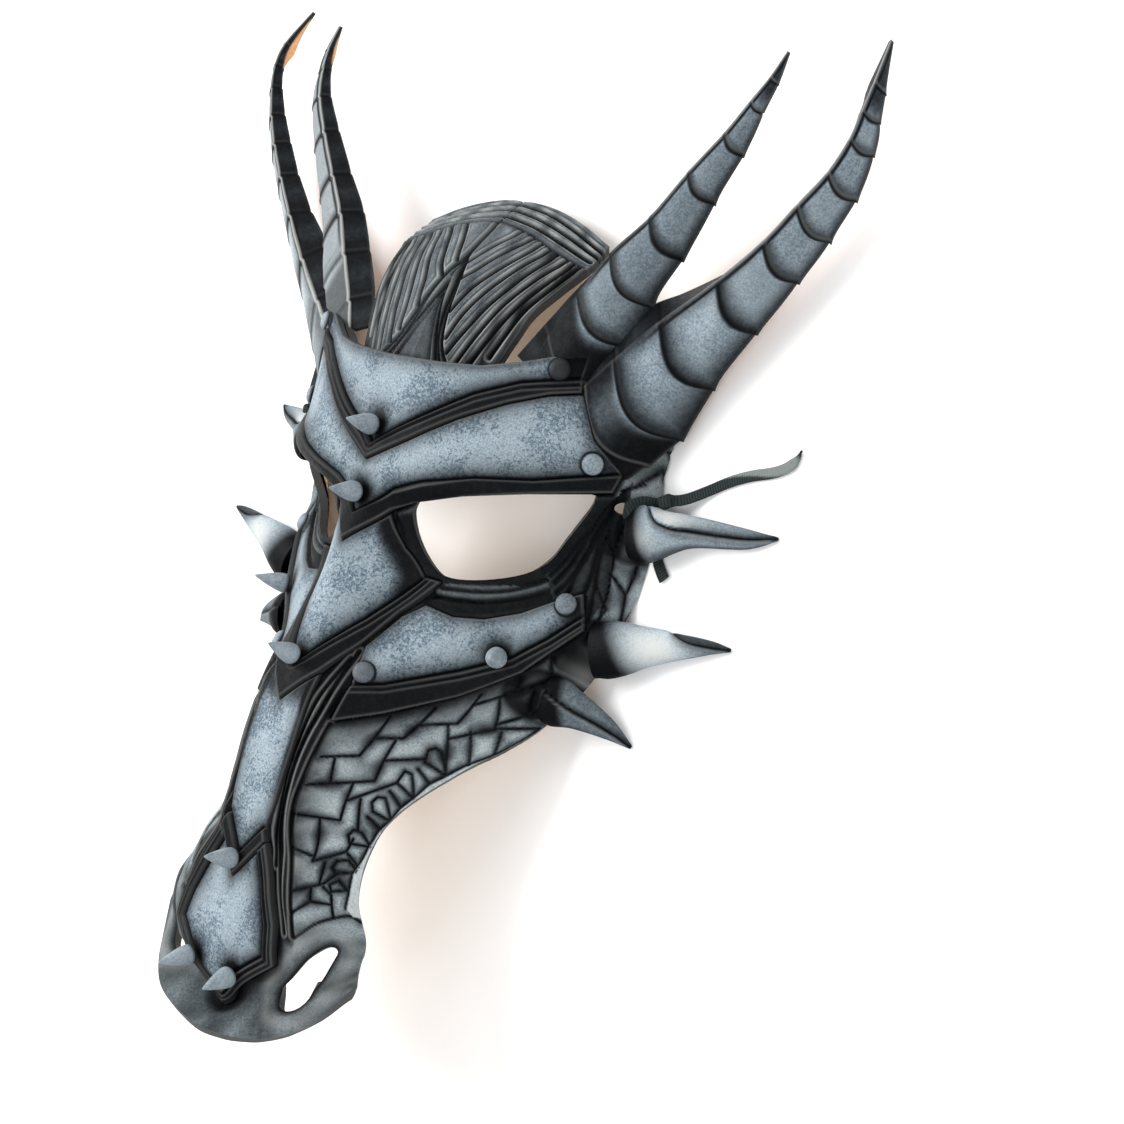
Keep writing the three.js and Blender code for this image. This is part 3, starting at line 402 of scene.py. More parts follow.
# Routes of the loose ends over the floor, from the knot outwards
RIBBON_ROUTES = {
    "left": [[96.8, 29.9, 4.1], [99.8, 31.4, 3], [103.4, 33.8, 1.8], [107.5, 36.5, 0.95],
             [111.5, 38.9, 0.85], [115.5, 40.9, 0.85], [119.5, 42.6, 0.85], [123.5, 44, 0.85],
             [127.3, 45.1, 0.85], [130.8, 46.5, 0.85], [133.6, 48, 0.85], [135.7, 49.8, 0.85],
             [137.1, 52, 0.85], [137.9, 54.6, 0.85]],
    "right": [[-95, 32.2, 4], [-97, 34.5, 3.2], [-98.4, 37.2, 2.3], [-99.1, 40.2, 1.5],
              [-99.2, 43.3, 1.15], [-98.9, 46.4, 1.1], [-98.3, 49.6, 1.1], [-97.7, 52.8, 1.1],
              [-97.4, 56, 1.1], [-97.6, 59.1, 1.1], [-98.6, 62.1, 1.1], [-100.3, 64.8, 1.1]],
}


class MaskSizes(bpy.types.PropertyGroup):
    """Depths of the leather and of the tooling"""
    leather: bpy.props.FloatProperty(
        name="Leather", description="Thickness of the base leather", default=0.003, unit="LENGTH")
    plate: bpy.props.FloatProperty(
        name="Plate", description="Depth of a plate's underside below the face", default=0.0024,
        unit="LENGTH")
    band: bpy.props.FloatProperty(
        name="Band", description="How far a plate's border stands up", default=0.0011, unit="LENGTH")
    groove: bpy.props.FloatProperty(
        name="Groove", description="Depth of the groove along a border", default=0.0011, unit="LENGTH")
    cut: bpy.props.FloatProperty(
        name="Cut", description="Depth of the tooled lines between scales", default=0.0008,
        unit="LENGTH")


class MaskColours(bpy.types.PropertyGroup):
    """Colours of the paint, the raw leather and the ribbon"""
    silver: bpy.props.FloatVectorProperty(
        name="Silver", description="Airbrushed plates", default=(0.285, 0.345, 0.385), subtype="COLOR")
    shadow: bpy.props.FloatVectorProperty(
        name="Shadow", description="Black of the bands and grooves", default=(0.0022, 0.0026, 0.0034),
        subtype="COLOR")
    scale: bpy.props.FloatVectorProperty(
        name="Scale", description="Middle of the jaw's scales", default=(0.30, 0.35, 0.37),
        subtype="COLOR")
    # Also the colour that painted highlights are mixed towards
    edge: bpy.props.FloatVectorProperty(
        name="Edge", description="Cut edges of the leather", default=(0.52, 0.53, 0.51),
        subtype="COLOR")
    raw: bpy.props.FloatVectorProperty(
        name="Raw", description="Undyed back of the leather", default=(0.80, 0.61, 0.43),
        subtype="COLOR")
    ribbon: bpy.props.FloatVectorProperty(
        name="Ribbon", description="Ribbed ribbon", default=(0.010, 0.016, 0.016), subtype="COLOR")


class MaskStage(bpy.types.PropertyGroup):
    """Floor and light"""
    floor: bpy.props.FloatVectorProperty(
        name="Floor", description="Plain floor", default=(0.93, 0.93, 0.93), subtype="COLOR")
    key: bpy.props.FloatProperty(
        name="Key light", description="Power of the soft light on the right temple", default=15.0,
        unit="POWER")
    room: bpy.props.FloatProperty(
        name="Room light", description="Strength of the even light", default=0.6)


# Meshes


def smooth_line(points, steps=6):
    """A smooth curve through the points, with steps pieces between neighbours."""
    p = np.asarray(points, float)
    padded = np.vstack([2 * p[0] - p[1], p, 2 * p[-1] - p[-2]])
    out = []
    for k in range(len(p) - 1):
        a, b, c, d = padded[k:k + 4]
        for t in np.linspace(0, 1, steps, endpoint=False):
            out.append(hermite(b, c, (c - a) / 2, (d - b) / 2, t))
    out.append(p[-1])
    return np.array(out)


def dense(points, step=0.4):
    """Points along a broken line, no further apart than step."""
    p = np.asarray(points, float)
    out = [p[:1]]
    for a, b in zip(p[:-1], p[1:]):
        n = max(1, int(math.ceil(np.linalg.norm(b - a) / step)))
        out.append(a + (b - a) * (np.arange(1, n + 1) / n)[:, None])
    return np.vstack(out)


def closed(outline, step):
    """Points along a closed outline, no further apart than step."""
    return dense(np.vstack([outline, outline[:1]]), step)


def on_face(line):
    """Laid points on the face under a line of [x, height on the face]."""
    p = np.asarray(line, float)
    return face.lifted(p[:, 1], face.across(p[:, 1], p[:, 0]), np.zeros(len(p)))


def tooled(lines, smooth=True):
    """Laid points along lines cut into the face."""
    return np.vstack([on_face(dense(smooth_line(line) if smooth else line)) for line in lines])


def tree_of(cloud):
    """A search tree over a cloud of points."""
    tree = kdtree.KDTree(len(cloud))
    for k, point in enumerate(cloud):
        tree.insert(point, k)
    tree.balance()
    return tree


def distance(points, cloud):
    """How far each point is from the nearest point of the cloud."""
    tree = tree_of(cloud)
    flat = np.asarray(points).reshape(-1, 3)
    found = np.array([tree.find(p)[2] for p in flat])
    return found.reshape(np.shape(points)[:-1])


def inside(polygon, x, v):
    """Which points lie inside a polygon of [x, v]."""
    hit = np.zeros(np.shape(x), bool)
    p = np.asarray(polygon, float)
    for (x0, v0), (x1, v1) in zip(p, np.roll(p, -1, axis=0)):
        if v0 == v1:
            continue
        crosses = ((v0 > v) != (v1 > v)) & (x < (x1 - x0) * (v - v0) / (v1 - v0) + x0)
        hit ^= crosses
    return hit


def ramp(value, low, high):
    """A soft step from 0 at low to 1 at high."""
    t = np.clip((value - low) / (high - low), 0, 1)
    return t * t * (3 - 2 * t)


def bell(value, width):
    """1 at a value of 0, and near 0 from twice the width on."""
    return np.exp(-(value / width) ** 2)


def fade(value, reach):
    """1 up to a value of 0, then dying away over the reach."""
    return np.exp(-np.clip(value, 0, None) / reach)


def most(first, *others):
    """The largest of the values at each point."""
    for other in others:
        first = np.maximum(first, other)
    return first


def off_floor(points, height):
    """Lifts the points that are lower than a height above the floor."""
    points[..., 2] = np.maximum(points[..., 2], height)


def make_object(name, points, faces, values, material, smooth):
    """An object from points in mm, with its paint kept as values at the points."""
    mesh = bpy.data.meshes.new(name)
    mesh.from_pydata((np.asarray(points) * MM).tolist(), [], [list(f) for f in faces])
    mesh.update()
    for key, numbers in values.items():
        layer = mesh.attributes.new(key, "FLOAT", "POINT")
        layer.data.foreach_set("value", np.asarray(numbers, np.float32))
    mesh.polygons.foreach_set("use_smooth", np.ones(len(mesh.polygons), bool))
    mesh.set_sharp_from_angle(angle=math.radians(smooth))
    obj = bpy.data.objects.new(name, mesh)
    bpy.context.scene.collection.objects.link(obj)
    mesh.materials.append(material)
    return obj


def sheet_mesh(top, normal, values, thickness, keep=None, under=True, cut=1.0, sign=1):
    """A sheet of leather over a grid of points: its face, its cut edges and, if asked, its back.

    keep says which quads of the grid are there, cut how bare its edges are, and sign its side of the mask.
    """
    rows, columns = top.shape[:2]
    ids = np.arange(rows * columns).reshape(rows, columns)
    quads = np.stack([ids[:-1, :-1], ids[1:, :-1], ids[1:, 1:], ids[:-1, 1:]], -1)
    keep = np.ones(quads.shape[:2], bool) if keep is None else keep
    quads = quads[keep]
    points = (top * (sign, 1, 1)).reshape(-1, 3)
    normals = (normal * (sign, 1, 1)).reshape(-1, 3)
    a, b, c = (points[quads[:, k]] for k in range(3))
    facing = (np.cross(b - a, c - a) * normals[quads[:, 0]]).sum()
    if facing < 0:
        quads = quads[:, ::-1]
    sides = np.vstack([quads[:, [k, (k + 1) % 4]] for k in range(4)])
    keys = sides.min(1).astype(np.int64) * len(points) + sides.max(1)
    _, first, counts = np.unique(keys, return_index=True, return_counts=True)
    border = sides[first[counts == 1]]
    rim = np.unique(border)
    place = np.full(len(points), -1)
    place[rim] = np.arange(len(rim))
    n = len(points)
    m = len(rim)
    depth = thickness.reshape(-1) if np.ndim(thickness) else np.full(n, thickness)
    upper = points[rim]
    lower = points[rim] - normals[rim] * depth[rim][:, None]
    edge_a = n + place[border[:, 0]]
    edge_b = n + place[border[:, 1]]
    walls = np.stack([edge_b, edge_a, edge_a + m, edge_b + m], -1)
    all_points = [points, upper, lower]
    all_faces = [quads, walls]
    flat = {"raw": np.zeros(n), **{k: v.reshape(-1) for k, v in values.items()}}
    back = {k: np.concatenate([v, v[rim], v[rim]]) for k, v in flat.items()}
    back["cut"] = np.concatenate([np.zeros(n), np.full(2 * m, cut)])
    if under:
        start = n + 2 * m
        all_points.append(points - normals * depth[:, None])
        all_faces.append(quads[:, ::-1] + start)
        for k in back:
            extra = flat[k] if k in ("dark", "pale") else np.full(n, 1.0 if k == "raw" else 0.0)
            back[k] = np.concatenate([back[k], extra])
    points = np.vstack(all_points)
    faces = np.vstack(all_faces)
    used = np.unique(faces)
    renumber = np.full(len(points), -1)
    renumber[used] = np.arange(len(used))
    return points[used], renumber[faces], {k: v[used] for k, v in back.items()}


def piece(name, node, mesh, material, smooth=50):
    """A piece of the mask that stands for a node, if one is given."""
    obj = make_object(name, *mesh, material, smooth)
    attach(obj, "root")
    if node:
        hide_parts(node)
    return obj


# Finishes


def new_material(name):
    """A material with one shader, whose tree the finishes fill in."""
    material = bpy.data.materials.new(name)
    material.use_nodes = True
    tree = material.node_tree
    tree.nodes.clear()
    out = tree.nodes.new("ShaderNodeOutputMaterial")
    shader = tree.nodes.new("ShaderNodeBsdfPrincipled")
    tree.links.new(shader.outputs["BSDF"], out.inputs["Surface"])
    return material, tree, shader


def place_node(tree):
    """Where a point is on its piece."""
    return tree.nodes.new("ShaderNodeTexCoord").outputs["Object"]


def noise(tree, place, scale, detail=2.0, rough=0.5):
    """Random clouds, finer with a larger scale."""
    node = tree.nodes.new("ShaderNodeTexNoise")
    node.inputs["Scale"].default_value = scale
    node.inputs["Detail"].default_value = detail
    node.inputs["Roughness"].default_value = rough
    tree.links.new(place, node.inputs["Vector"])
    return node.outputs["Fac"]


def maths(tree, operation, a, b=None, c=None, clamp=False):
    """A sum or product of values and numbers."""
    node = tree.nodes.new("ShaderNodeMath")
    node.operation = operation
    node.use_clamp = clamp
    for socket, value in zip(node.inputs, (a, b, c)):
        if value is None:
            continue
        if isinstance(value, (int, float)):
            socket.default_value = value
        else:
            tree.links.new(value, socket)
    return node.outputs[0]


def spread(tree, value, low, high):
    """A value stretched softly so that low becomes 0 and high becomes 1."""
    node = tree.nodes.new("ShaderNodeMapRange")
    node.interpolation_type = "SMOOTHSTEP"
    node.inputs["From Min"].default_value = low
    node.inputs["From Max"].default_value = high
    tree.links.new(value, node.inputs["Value"])
    return node.outputs["Result"]


def mix(tree, share, a, b):
    """Colour a with a share of colour b over it."""
    node = tree.nodes.new("ShaderNodeMix")
    node.data_type = "RGBA"
    for socket, value in ((node.inputs["Factor"], share), (node.inputs["A"], a), (node.inputs["B"], b)):
        if isinstance(value, bpy.types.NodeSocket):
            tree.links.new(value, socket)
        elif isinstance(value, (int, float)):
            socket.default_value = value
        else:
            socket.default_value = (*value[:3], 1.0)
    return node.outputs["Result"]


def value_of(tree, name):
    """A value kept at the points of the mesh, such as how black they are."""
    node = tree.nodes.new("ShaderNodeAttribute")
    node.attribute_type = "GEOMETRY"
    node.attribute_name = name
    return node.outputs["Fac"]


def bump(tree, shader, height, strength, depth):
    """Fine relief on a finish, from a value used as its height."""
    node = tree.nodes.new("ShaderNodeBump")
    node.inputs["Strength"].default_value = strength
    node.inputs["Distance"].default_value = depth
    tree.links.new(height, node.inputs["Height"])
    tree.links.new(node.outputs["Normal"], shader.inputs["Normal"])


def leather(name, field, colours, mottle=1.0, rough=(0.38, 0.62), grain=0.25, raw=None):
    """Painted leather: a mottled field, black where the airbrush went and where shade is painted, pale at the
    cut edges and at painted highlights.
    """
    material, tree, shader = new_material(name)
    place = place_node(tree)
    field = np.array(field)
    patch = spread(tree, noise(tree, place, 55, 4.0, 0.6), 0.38, 0.62)
    speck = noise(tree, place, 1500, 2.0, 0.7)
    coarse = noise(tree, place, 420, 3.0, 0.65)
    dots = spread(tree, speck, 0.42, 0.60)
    light = mix(tree, dots, tuple(field * 0.78), tuple(field * 1.14))
    deep = mix(tree, dots, tuple(field * (0.20, 0.25, 0.31)), tuple(field * (0.50, 0.58, 0.64)))
    grains = noise(tree, place, 950, 3.0, 0.75)
    blotch = spread(tree, maths(tree, "MULTIPLY_ADD", patch, 0.17, grains), 0.57, 0.70)
    share = maths(tree, "MULTIPLY", blotch, mottle, clamp=True)
    base = mix(tree, share, light, deep)
    dark = value_of(tree, "dark")
    grit = maths(tree, "MULTIPLY_ADD", speck, 0.55, -0.27)
    grit = maths(tree, "ADD", grit, maths(tree, "MULTIPLY_ADD", coarse, 0.5, -0.25))
    soft = maths(tree, "MULTIPLY", dark, maths(tree, "SUBTRACT", 1.35, dark))
    amount = maths(tree, "ADD", dark, maths(tree, "MULTIPLY", soft, grit), clamp=True)
    amount = maths(tree, "SUBTRACT", 1.0, maths(tree, "POWER", maths(tree, "SUBTRACT", 1.0, amount), 2.3))
    base = mix(tree, amount, base, tuple(colours.shadow))
    pale = value_of(tree, "pale")
    # The pale value holds pale cut edges and painted highlights, both mixed towards the edge colour
    pale_edges_and_highlights = maths(tree, "MULTIPLY", pale, spread(tree, coarse, 0.1, 0.45), clamp=True)
    base = mix(tree, pale_edges_and_highlights, base, tuple(colours.edge))
    cut = value_of(tree, "cut")
    base = mix(tree, cut, base, tuple(np.array(colours.edge) * 0.13))
    undyed = np.array(raw or colours.raw)
    suede = mix(tree, spread(tree, coarse, 0.35, 0.65), tuple(undyed * 0.8), tuple(undyed))
    base = mix(tree, value_of(tree, "raw"), base, suede)
    tree.links.new(base, shader.inputs["Base Color"])
    sheen = maths(tree, "MULTIPLY_ADD", coarse, rough[1] - rough[0], rough[0])
    tree.links.new(sheen, shader.inputs["Roughness"])
    shader.inputs["Specular IOR Level"].default_value = 0.05
    fine = noise(tree, place, 900, 3.0, 0.6)
    creases = tree.nodes.new("ShaderNodeTexVoronoi")
    creases.feature = "DISTANCE_TO_EDGE"
    creases.inputs["Scale"].default_value = 620
    tree.links.new(place, creases.inputs["Vector"])
    pits = spread(tree, creases.outputs["Distance"], 0.0, 0.12)
    bump(tree, shader, maths(tree, "MULTIPLY_ADD", pits, 0.35, fine), grain, 0.0004)
    return material


def stud_paint(colours):
    """Speckled silver paint, black round the foot of a stud as painted shade."""
    material, tree, shader = new_material("stud paint")
    place = place_node(tree)
    specks = spread(tree, noise(tree, place, 1300, 3.0, 0.7), 0.38, 0.62)
    clouds = spread(tree, noise(tree, place, 160, 2.0), 0.4, 0.62)
    base = mix(tree, specks, (0.15, 0.19, 0.22), (0.26, 0.305, 0.34))
    base = mix(tree, maths(tree, "MULTIPLY", clouds, 0.35), base, (0.33, 0.375, 0.41))
    base = mix(tree, value_of(tree, "dark"), base, tuple(colours.shadow))
    tree.links.new(base, shader.inputs["Base Color"])
    shader.inputs["Roughness"].default_value = 0.55
    shader.inputs["Specular IOR Level"].default_value = 0.2
    bump(tree, shader, noise(tree, place, 1100, 2.0), 0.2, 0.0003)
    return material


def ribbon_cloth(colours):
    """Dark ribbon with ribs across it, lighter where its pale value is high."""
    material, tree, shader = new_material("ribbed ribbon")
    place = place_node(tree)
    rib = tree.nodes.new("ShaderNodeTexWave")
    rib.wave_type = "BANDS"
    rib.bands_direction = "X"
    rib.inputs["Scale"].default_value = 0.32
    rib.inputs["Distortion"].default_value = 0.4
    along = tree.nodes.new("ShaderNodeCombineXYZ")
    tree.links.new(value_of(tree, "along"), along.inputs["X"])
    tree.links.new(along.outputs["Vector"], rib.inputs["Vector"])
    thread = noise(tree, place, 2600, 2.0)
    cloth = np.array(colours.ribbon)
    base = mix(tree, rib.outputs["Fac"], tuple(cloth * 0.5), tuple(cloth * 1.8))
    base = mix(tree, value_of(tree, "pale"), base, (0.21, 0.235, 0.225))
    base = mix(tree, maths(tree, "MULTIPLY", thread, 0.035), base, (0.2, 0.24, 0.23))
    tree.links.new(base, shader.inputs["Base Color"])
    shader.inputs["Roughness"].default_value = 0.7
    shader.inputs["Specular IOR Level"].default_value = 0.15
    bump(tree, shader, maths(tree, "ADD", rib.outputs["Fac"], thread), 0.5, 0.0004)
    return material


def floor_paint(stage):
    """Plain, nearly even floor."""
    material, tree, shader = new_material("pale floor")
    tone = noise(tree, place_node(tree), 3.0)
    base = mix(tree, tone, tuple(np.array(stage.floor) * 0.99), tuple(stage.floor))
    tree.links.new(base, shader.inputs["Base Color"])
    shader.inputs["Roughness"].default_value = 0.8
    return material


FINISHES = {}


def finish(name):
    """A material by its name, made once."""
    if name not in FINISHES:
        colours = bpy.context.scene.mask_colours
        silver = np.array(colours.silver)
        makers = {
            "silver": lambda: leather("silver leather", silver, colours, 0.85),
            "scale": lambda: leather("scaled leather", colours.scale, colours, 0.5),
            "crest": lambda: leather("crest leather", silver * (0.80, 0.76, 0.73), colours, 0.5),
            "horn": lambda: leather("horn leather", silver * 1.3, colours, 0.45, raw=(0.60, 0.32, 0.16)),
            "stud": lambda: stud_paint(colours),
            "ribbon": lambda: ribbon_cloth(colours),
        }
        FINISHES[name] = makers[name]()
    return FINISHES[name]


# Plates


def along_line(line, share):
    """The point at a share of the way along a line of [x, v] points, measured across."""
    p = np.asarray(line, float)
    x = p[0, 0] + share * (p[-1, 0] - p[0, 0])
    return np.stack([x, np.interp(x, p[:, 0], p[:, 1])], -1)


def plate_grid(lines, shares, spacing=0.5):
    """Rows of [x, v] points that run from the first line to the last."""
    keys = np.stack([along_line(line, shares) for line in lines])
    gaps = [np.linalg.norm(b - a, axis=-1).max() for a, b in zip(keys[:-1], keys[1:])]
    rows = [keys[0]]
    for a, b, gap in zip(keys[:-1], keys[1:], gaps):
        n = max(1, int(round(gap / spacing)))
        rows.extend(a + (b - a) * k / n for k in range(1, n + 1))
    return np.stack(rows)


def border_profile(s, sizes, grooved):
    """Height, blackness and paleness across a plate's border, s from its inner groove to the edge."""
    band = sizes.band / MM
    height = band * ramp(s, 0.1, 1.1) - sizes.groove / MM * bell(s + 0.1, 0.62)
    dark = most(bell(s, 1.1), 0.89 * ramp(s, 0.2, 1.0), 0.8 * fade(-s, 3.3))
    pale = 0.08 * bell(s - 0.8, 0.35)
    if grooved:
        height -= 0.55 * bell(s - 2.1, 0.38)
        pale = pale + 0.07 * bell(s - 2.8, 0.35)
        dark = most(dark, 0.95 * bell(s - 2.1, 0.4))
    return height, dark, np.clip(pale, 0, 1)


# Blackness that the airbrush left towards the sides of the plates
SIDE_SHADES = {
    "forehead": lambda x, v: 0.9 * ramp(x, 52, 62) * ramp(v, 57, 67) + 0.75 * ramp(x, 61, 66),
    "brow": lambda x, v: 0.7 * ramp(x, 66, 76),
    "nose": lambda x, v: 0.85 * ramp(x - np.interp(v, [-25, -10, 10], [20, 20, 9]), -5, 1),
    "snout": lambda x, v: 0.8 * ramp(x, 8.5, 11.5) + 0.7 * ramp(v, -60, -50),
    "muzzle": lambda x, v: 0 * x,
    "cheek": lambda x, v: 0.8 * ramp(x, 64, 73),
}


def round_cones(points, studs):
    """Painted shade: blackness round the foot of each stud."""
    total = np.zeros(points.shape[:-1])
    for stud in studs:
        gap = np.linalg.norm(points - on_face([CONES[stud]])[0], axis=-1)
        total = most(total, 0.95 * fade(gap - CONE_FOOT, CONE_SHADE - CONE_FOOT))
    return total


def plate_mesh(name, grid, band, studs, sizes, grooved=True, sign=1):
    """A plate over its grid, with a raised border below the band, or all round where it has none."""
    x, v = grid[..., 0], grid[..., 1]
    c = face.across(v, x)
    flat = face.lifted(v, c)
    normal = face.normal(v, c)
    edge = distance(flat, np.vstack([flat[0], flat[-1], flat[:, 0], flat[:, -1]]))
    if band is None:
        s = MUZZLE_BORDER - distance(flat, np.vstack([flat[:, 0], flat[:, -1], flat[-1]]))
    else:
        line = dense(band, 0.3)
        both = np.vstack([line, line * (-1, 1)]) if x.min() < 0 < x.max() else line
        gap = distance(flat, on_face(both))
        s = np.where(v < np.interp(np.abs(x), line[:, 0], line[:, 1]), gap, -gap)
    height, dark, pale = border_profile(s, sizes, grooved)
    height = height - 0.75 * np.clip(1 - edge / 0.7, 0, 1) ** 2
    dark = most(dark, 0.62 * fade(edge, 2.6))
    pale = most(pale, 0.11 * bell(edge - 0.4, 0.35))
    # A painted shadow ring round each rivet
    for spot in RIVETS.values():
        gap = np.linalg.norm(flat - on_face([spot])[0], axis=-1)
        dark = most(dark, 0.9 * bell(gap - 3.9, 0.55))
    dark = most(dark, round_cones(flat, studs), SIDE_SHADES[name](np.abs(x), v))
    top = flat + normal * height[..., None]
    return sheet_mesh(top, normal, {"dark": dark, "pale": pale}, height + sizes.plate / MM,
                      under=name == "forehead", cut=0.25, sign=sign)


def middle_shares(half_width, spacing):
    """Shares of the half width, from -1 on the right through 0 to 1 on the left."""
    n = int(round(half_width / spacing))
    return np.concatenate([-np.linspace(1, 0, n, endpoint=False), np.linspace(0, 1, n + 1)])


def middle_grid(lines, shares):
    """Rows of [x, v] points from the right edge of a plate to the left one."""
    grid = plate_grid(lines, np.abs(shares))
    grid[..., 0] *= np.where(shares < 0, -1, 1)
    return grid


class MASK_OT_plates(bpy.types.Operator):
    """Overlapping plates down the middle of the face and under the eyes"""
    bl_idname = "mask.plates"
    bl_label = "Plates"

    def execute(self, context):
        sizes = context.scene.mask_sizes
        silver = finish("silver")
        for name, (lines, band, half_width, spacing, grooved, studs) in MIDDLE_PLATES.items():
            grid = middle_grid(lines, middle_shares(half_width, spacing))
            mesh = plate_mesh(name, grid, band, studs, sizes, grooved)
            piece(name, f"{name}_plate", mesh, silver)
        grid = plate_grid(CHEEK_LINES, np.linspace(0, 1, CHEEK_COLUMNS))
        for side, sign in SIDES:
            mesh = plate_mesh("cheek", grid, CHEEK_LINES[2], ["cheek_left"], sizes, sign=sign)
            piece(f"cheek_{side}", f"cheek_plate_{side}", mesh, silver)
        return {"FINISHED"}


# Face


def rounded(points, keep, times):
    """A closed outline with its corners cut round so many times, apart from those to keep."""
    p = [tuple(q) for q in points]
    kept = {p[k] for k in keep}
    for _ in range(times):
        out = []
        for a, b in zip(p, p[1:] + p[:1]):
            near = a if a in kept else tuple(np.array(a) * 0.75 + np.array(b) * 0.25)
            far = b if b in kept else tuple(np.array(a) * 0.25 + np.array(b) * 0.75)
            out.append(near)
            if far not in kept:
                out.append(far)
        p = out
    return np.array(p)


EYE_HOLE = rounded(EYE, (4,), 2)
NOSTRIL_HOLE = rounded(NOSTRIL, (), 3)


def plate_outlines():
    """The plates' left halves as closed outlines, from the forehead down and the muzzle last."""
    def joined(lines):
        ends = [line[-1] for line in lines[1:-1]]
        starts = [line[0] for line in lines[1:-1]][::-1]
        return np.array([*lines[0], *ends, *lines[-1][::-1], *starts], float)
    upper = [joined(MIDDLE_PLATES[name][0]) for name in ("forehead", "brow", "nose", "snout")]
    sides = [line[1] for line in MUZZLE_LINES[1:]]
    muzzle = np.vstack([MUZZLE_LINES[0], sides, [MUZZLE_LINES[-1][0]]])
    return [*upper, joined(CHEEK_LINES), muzzle]


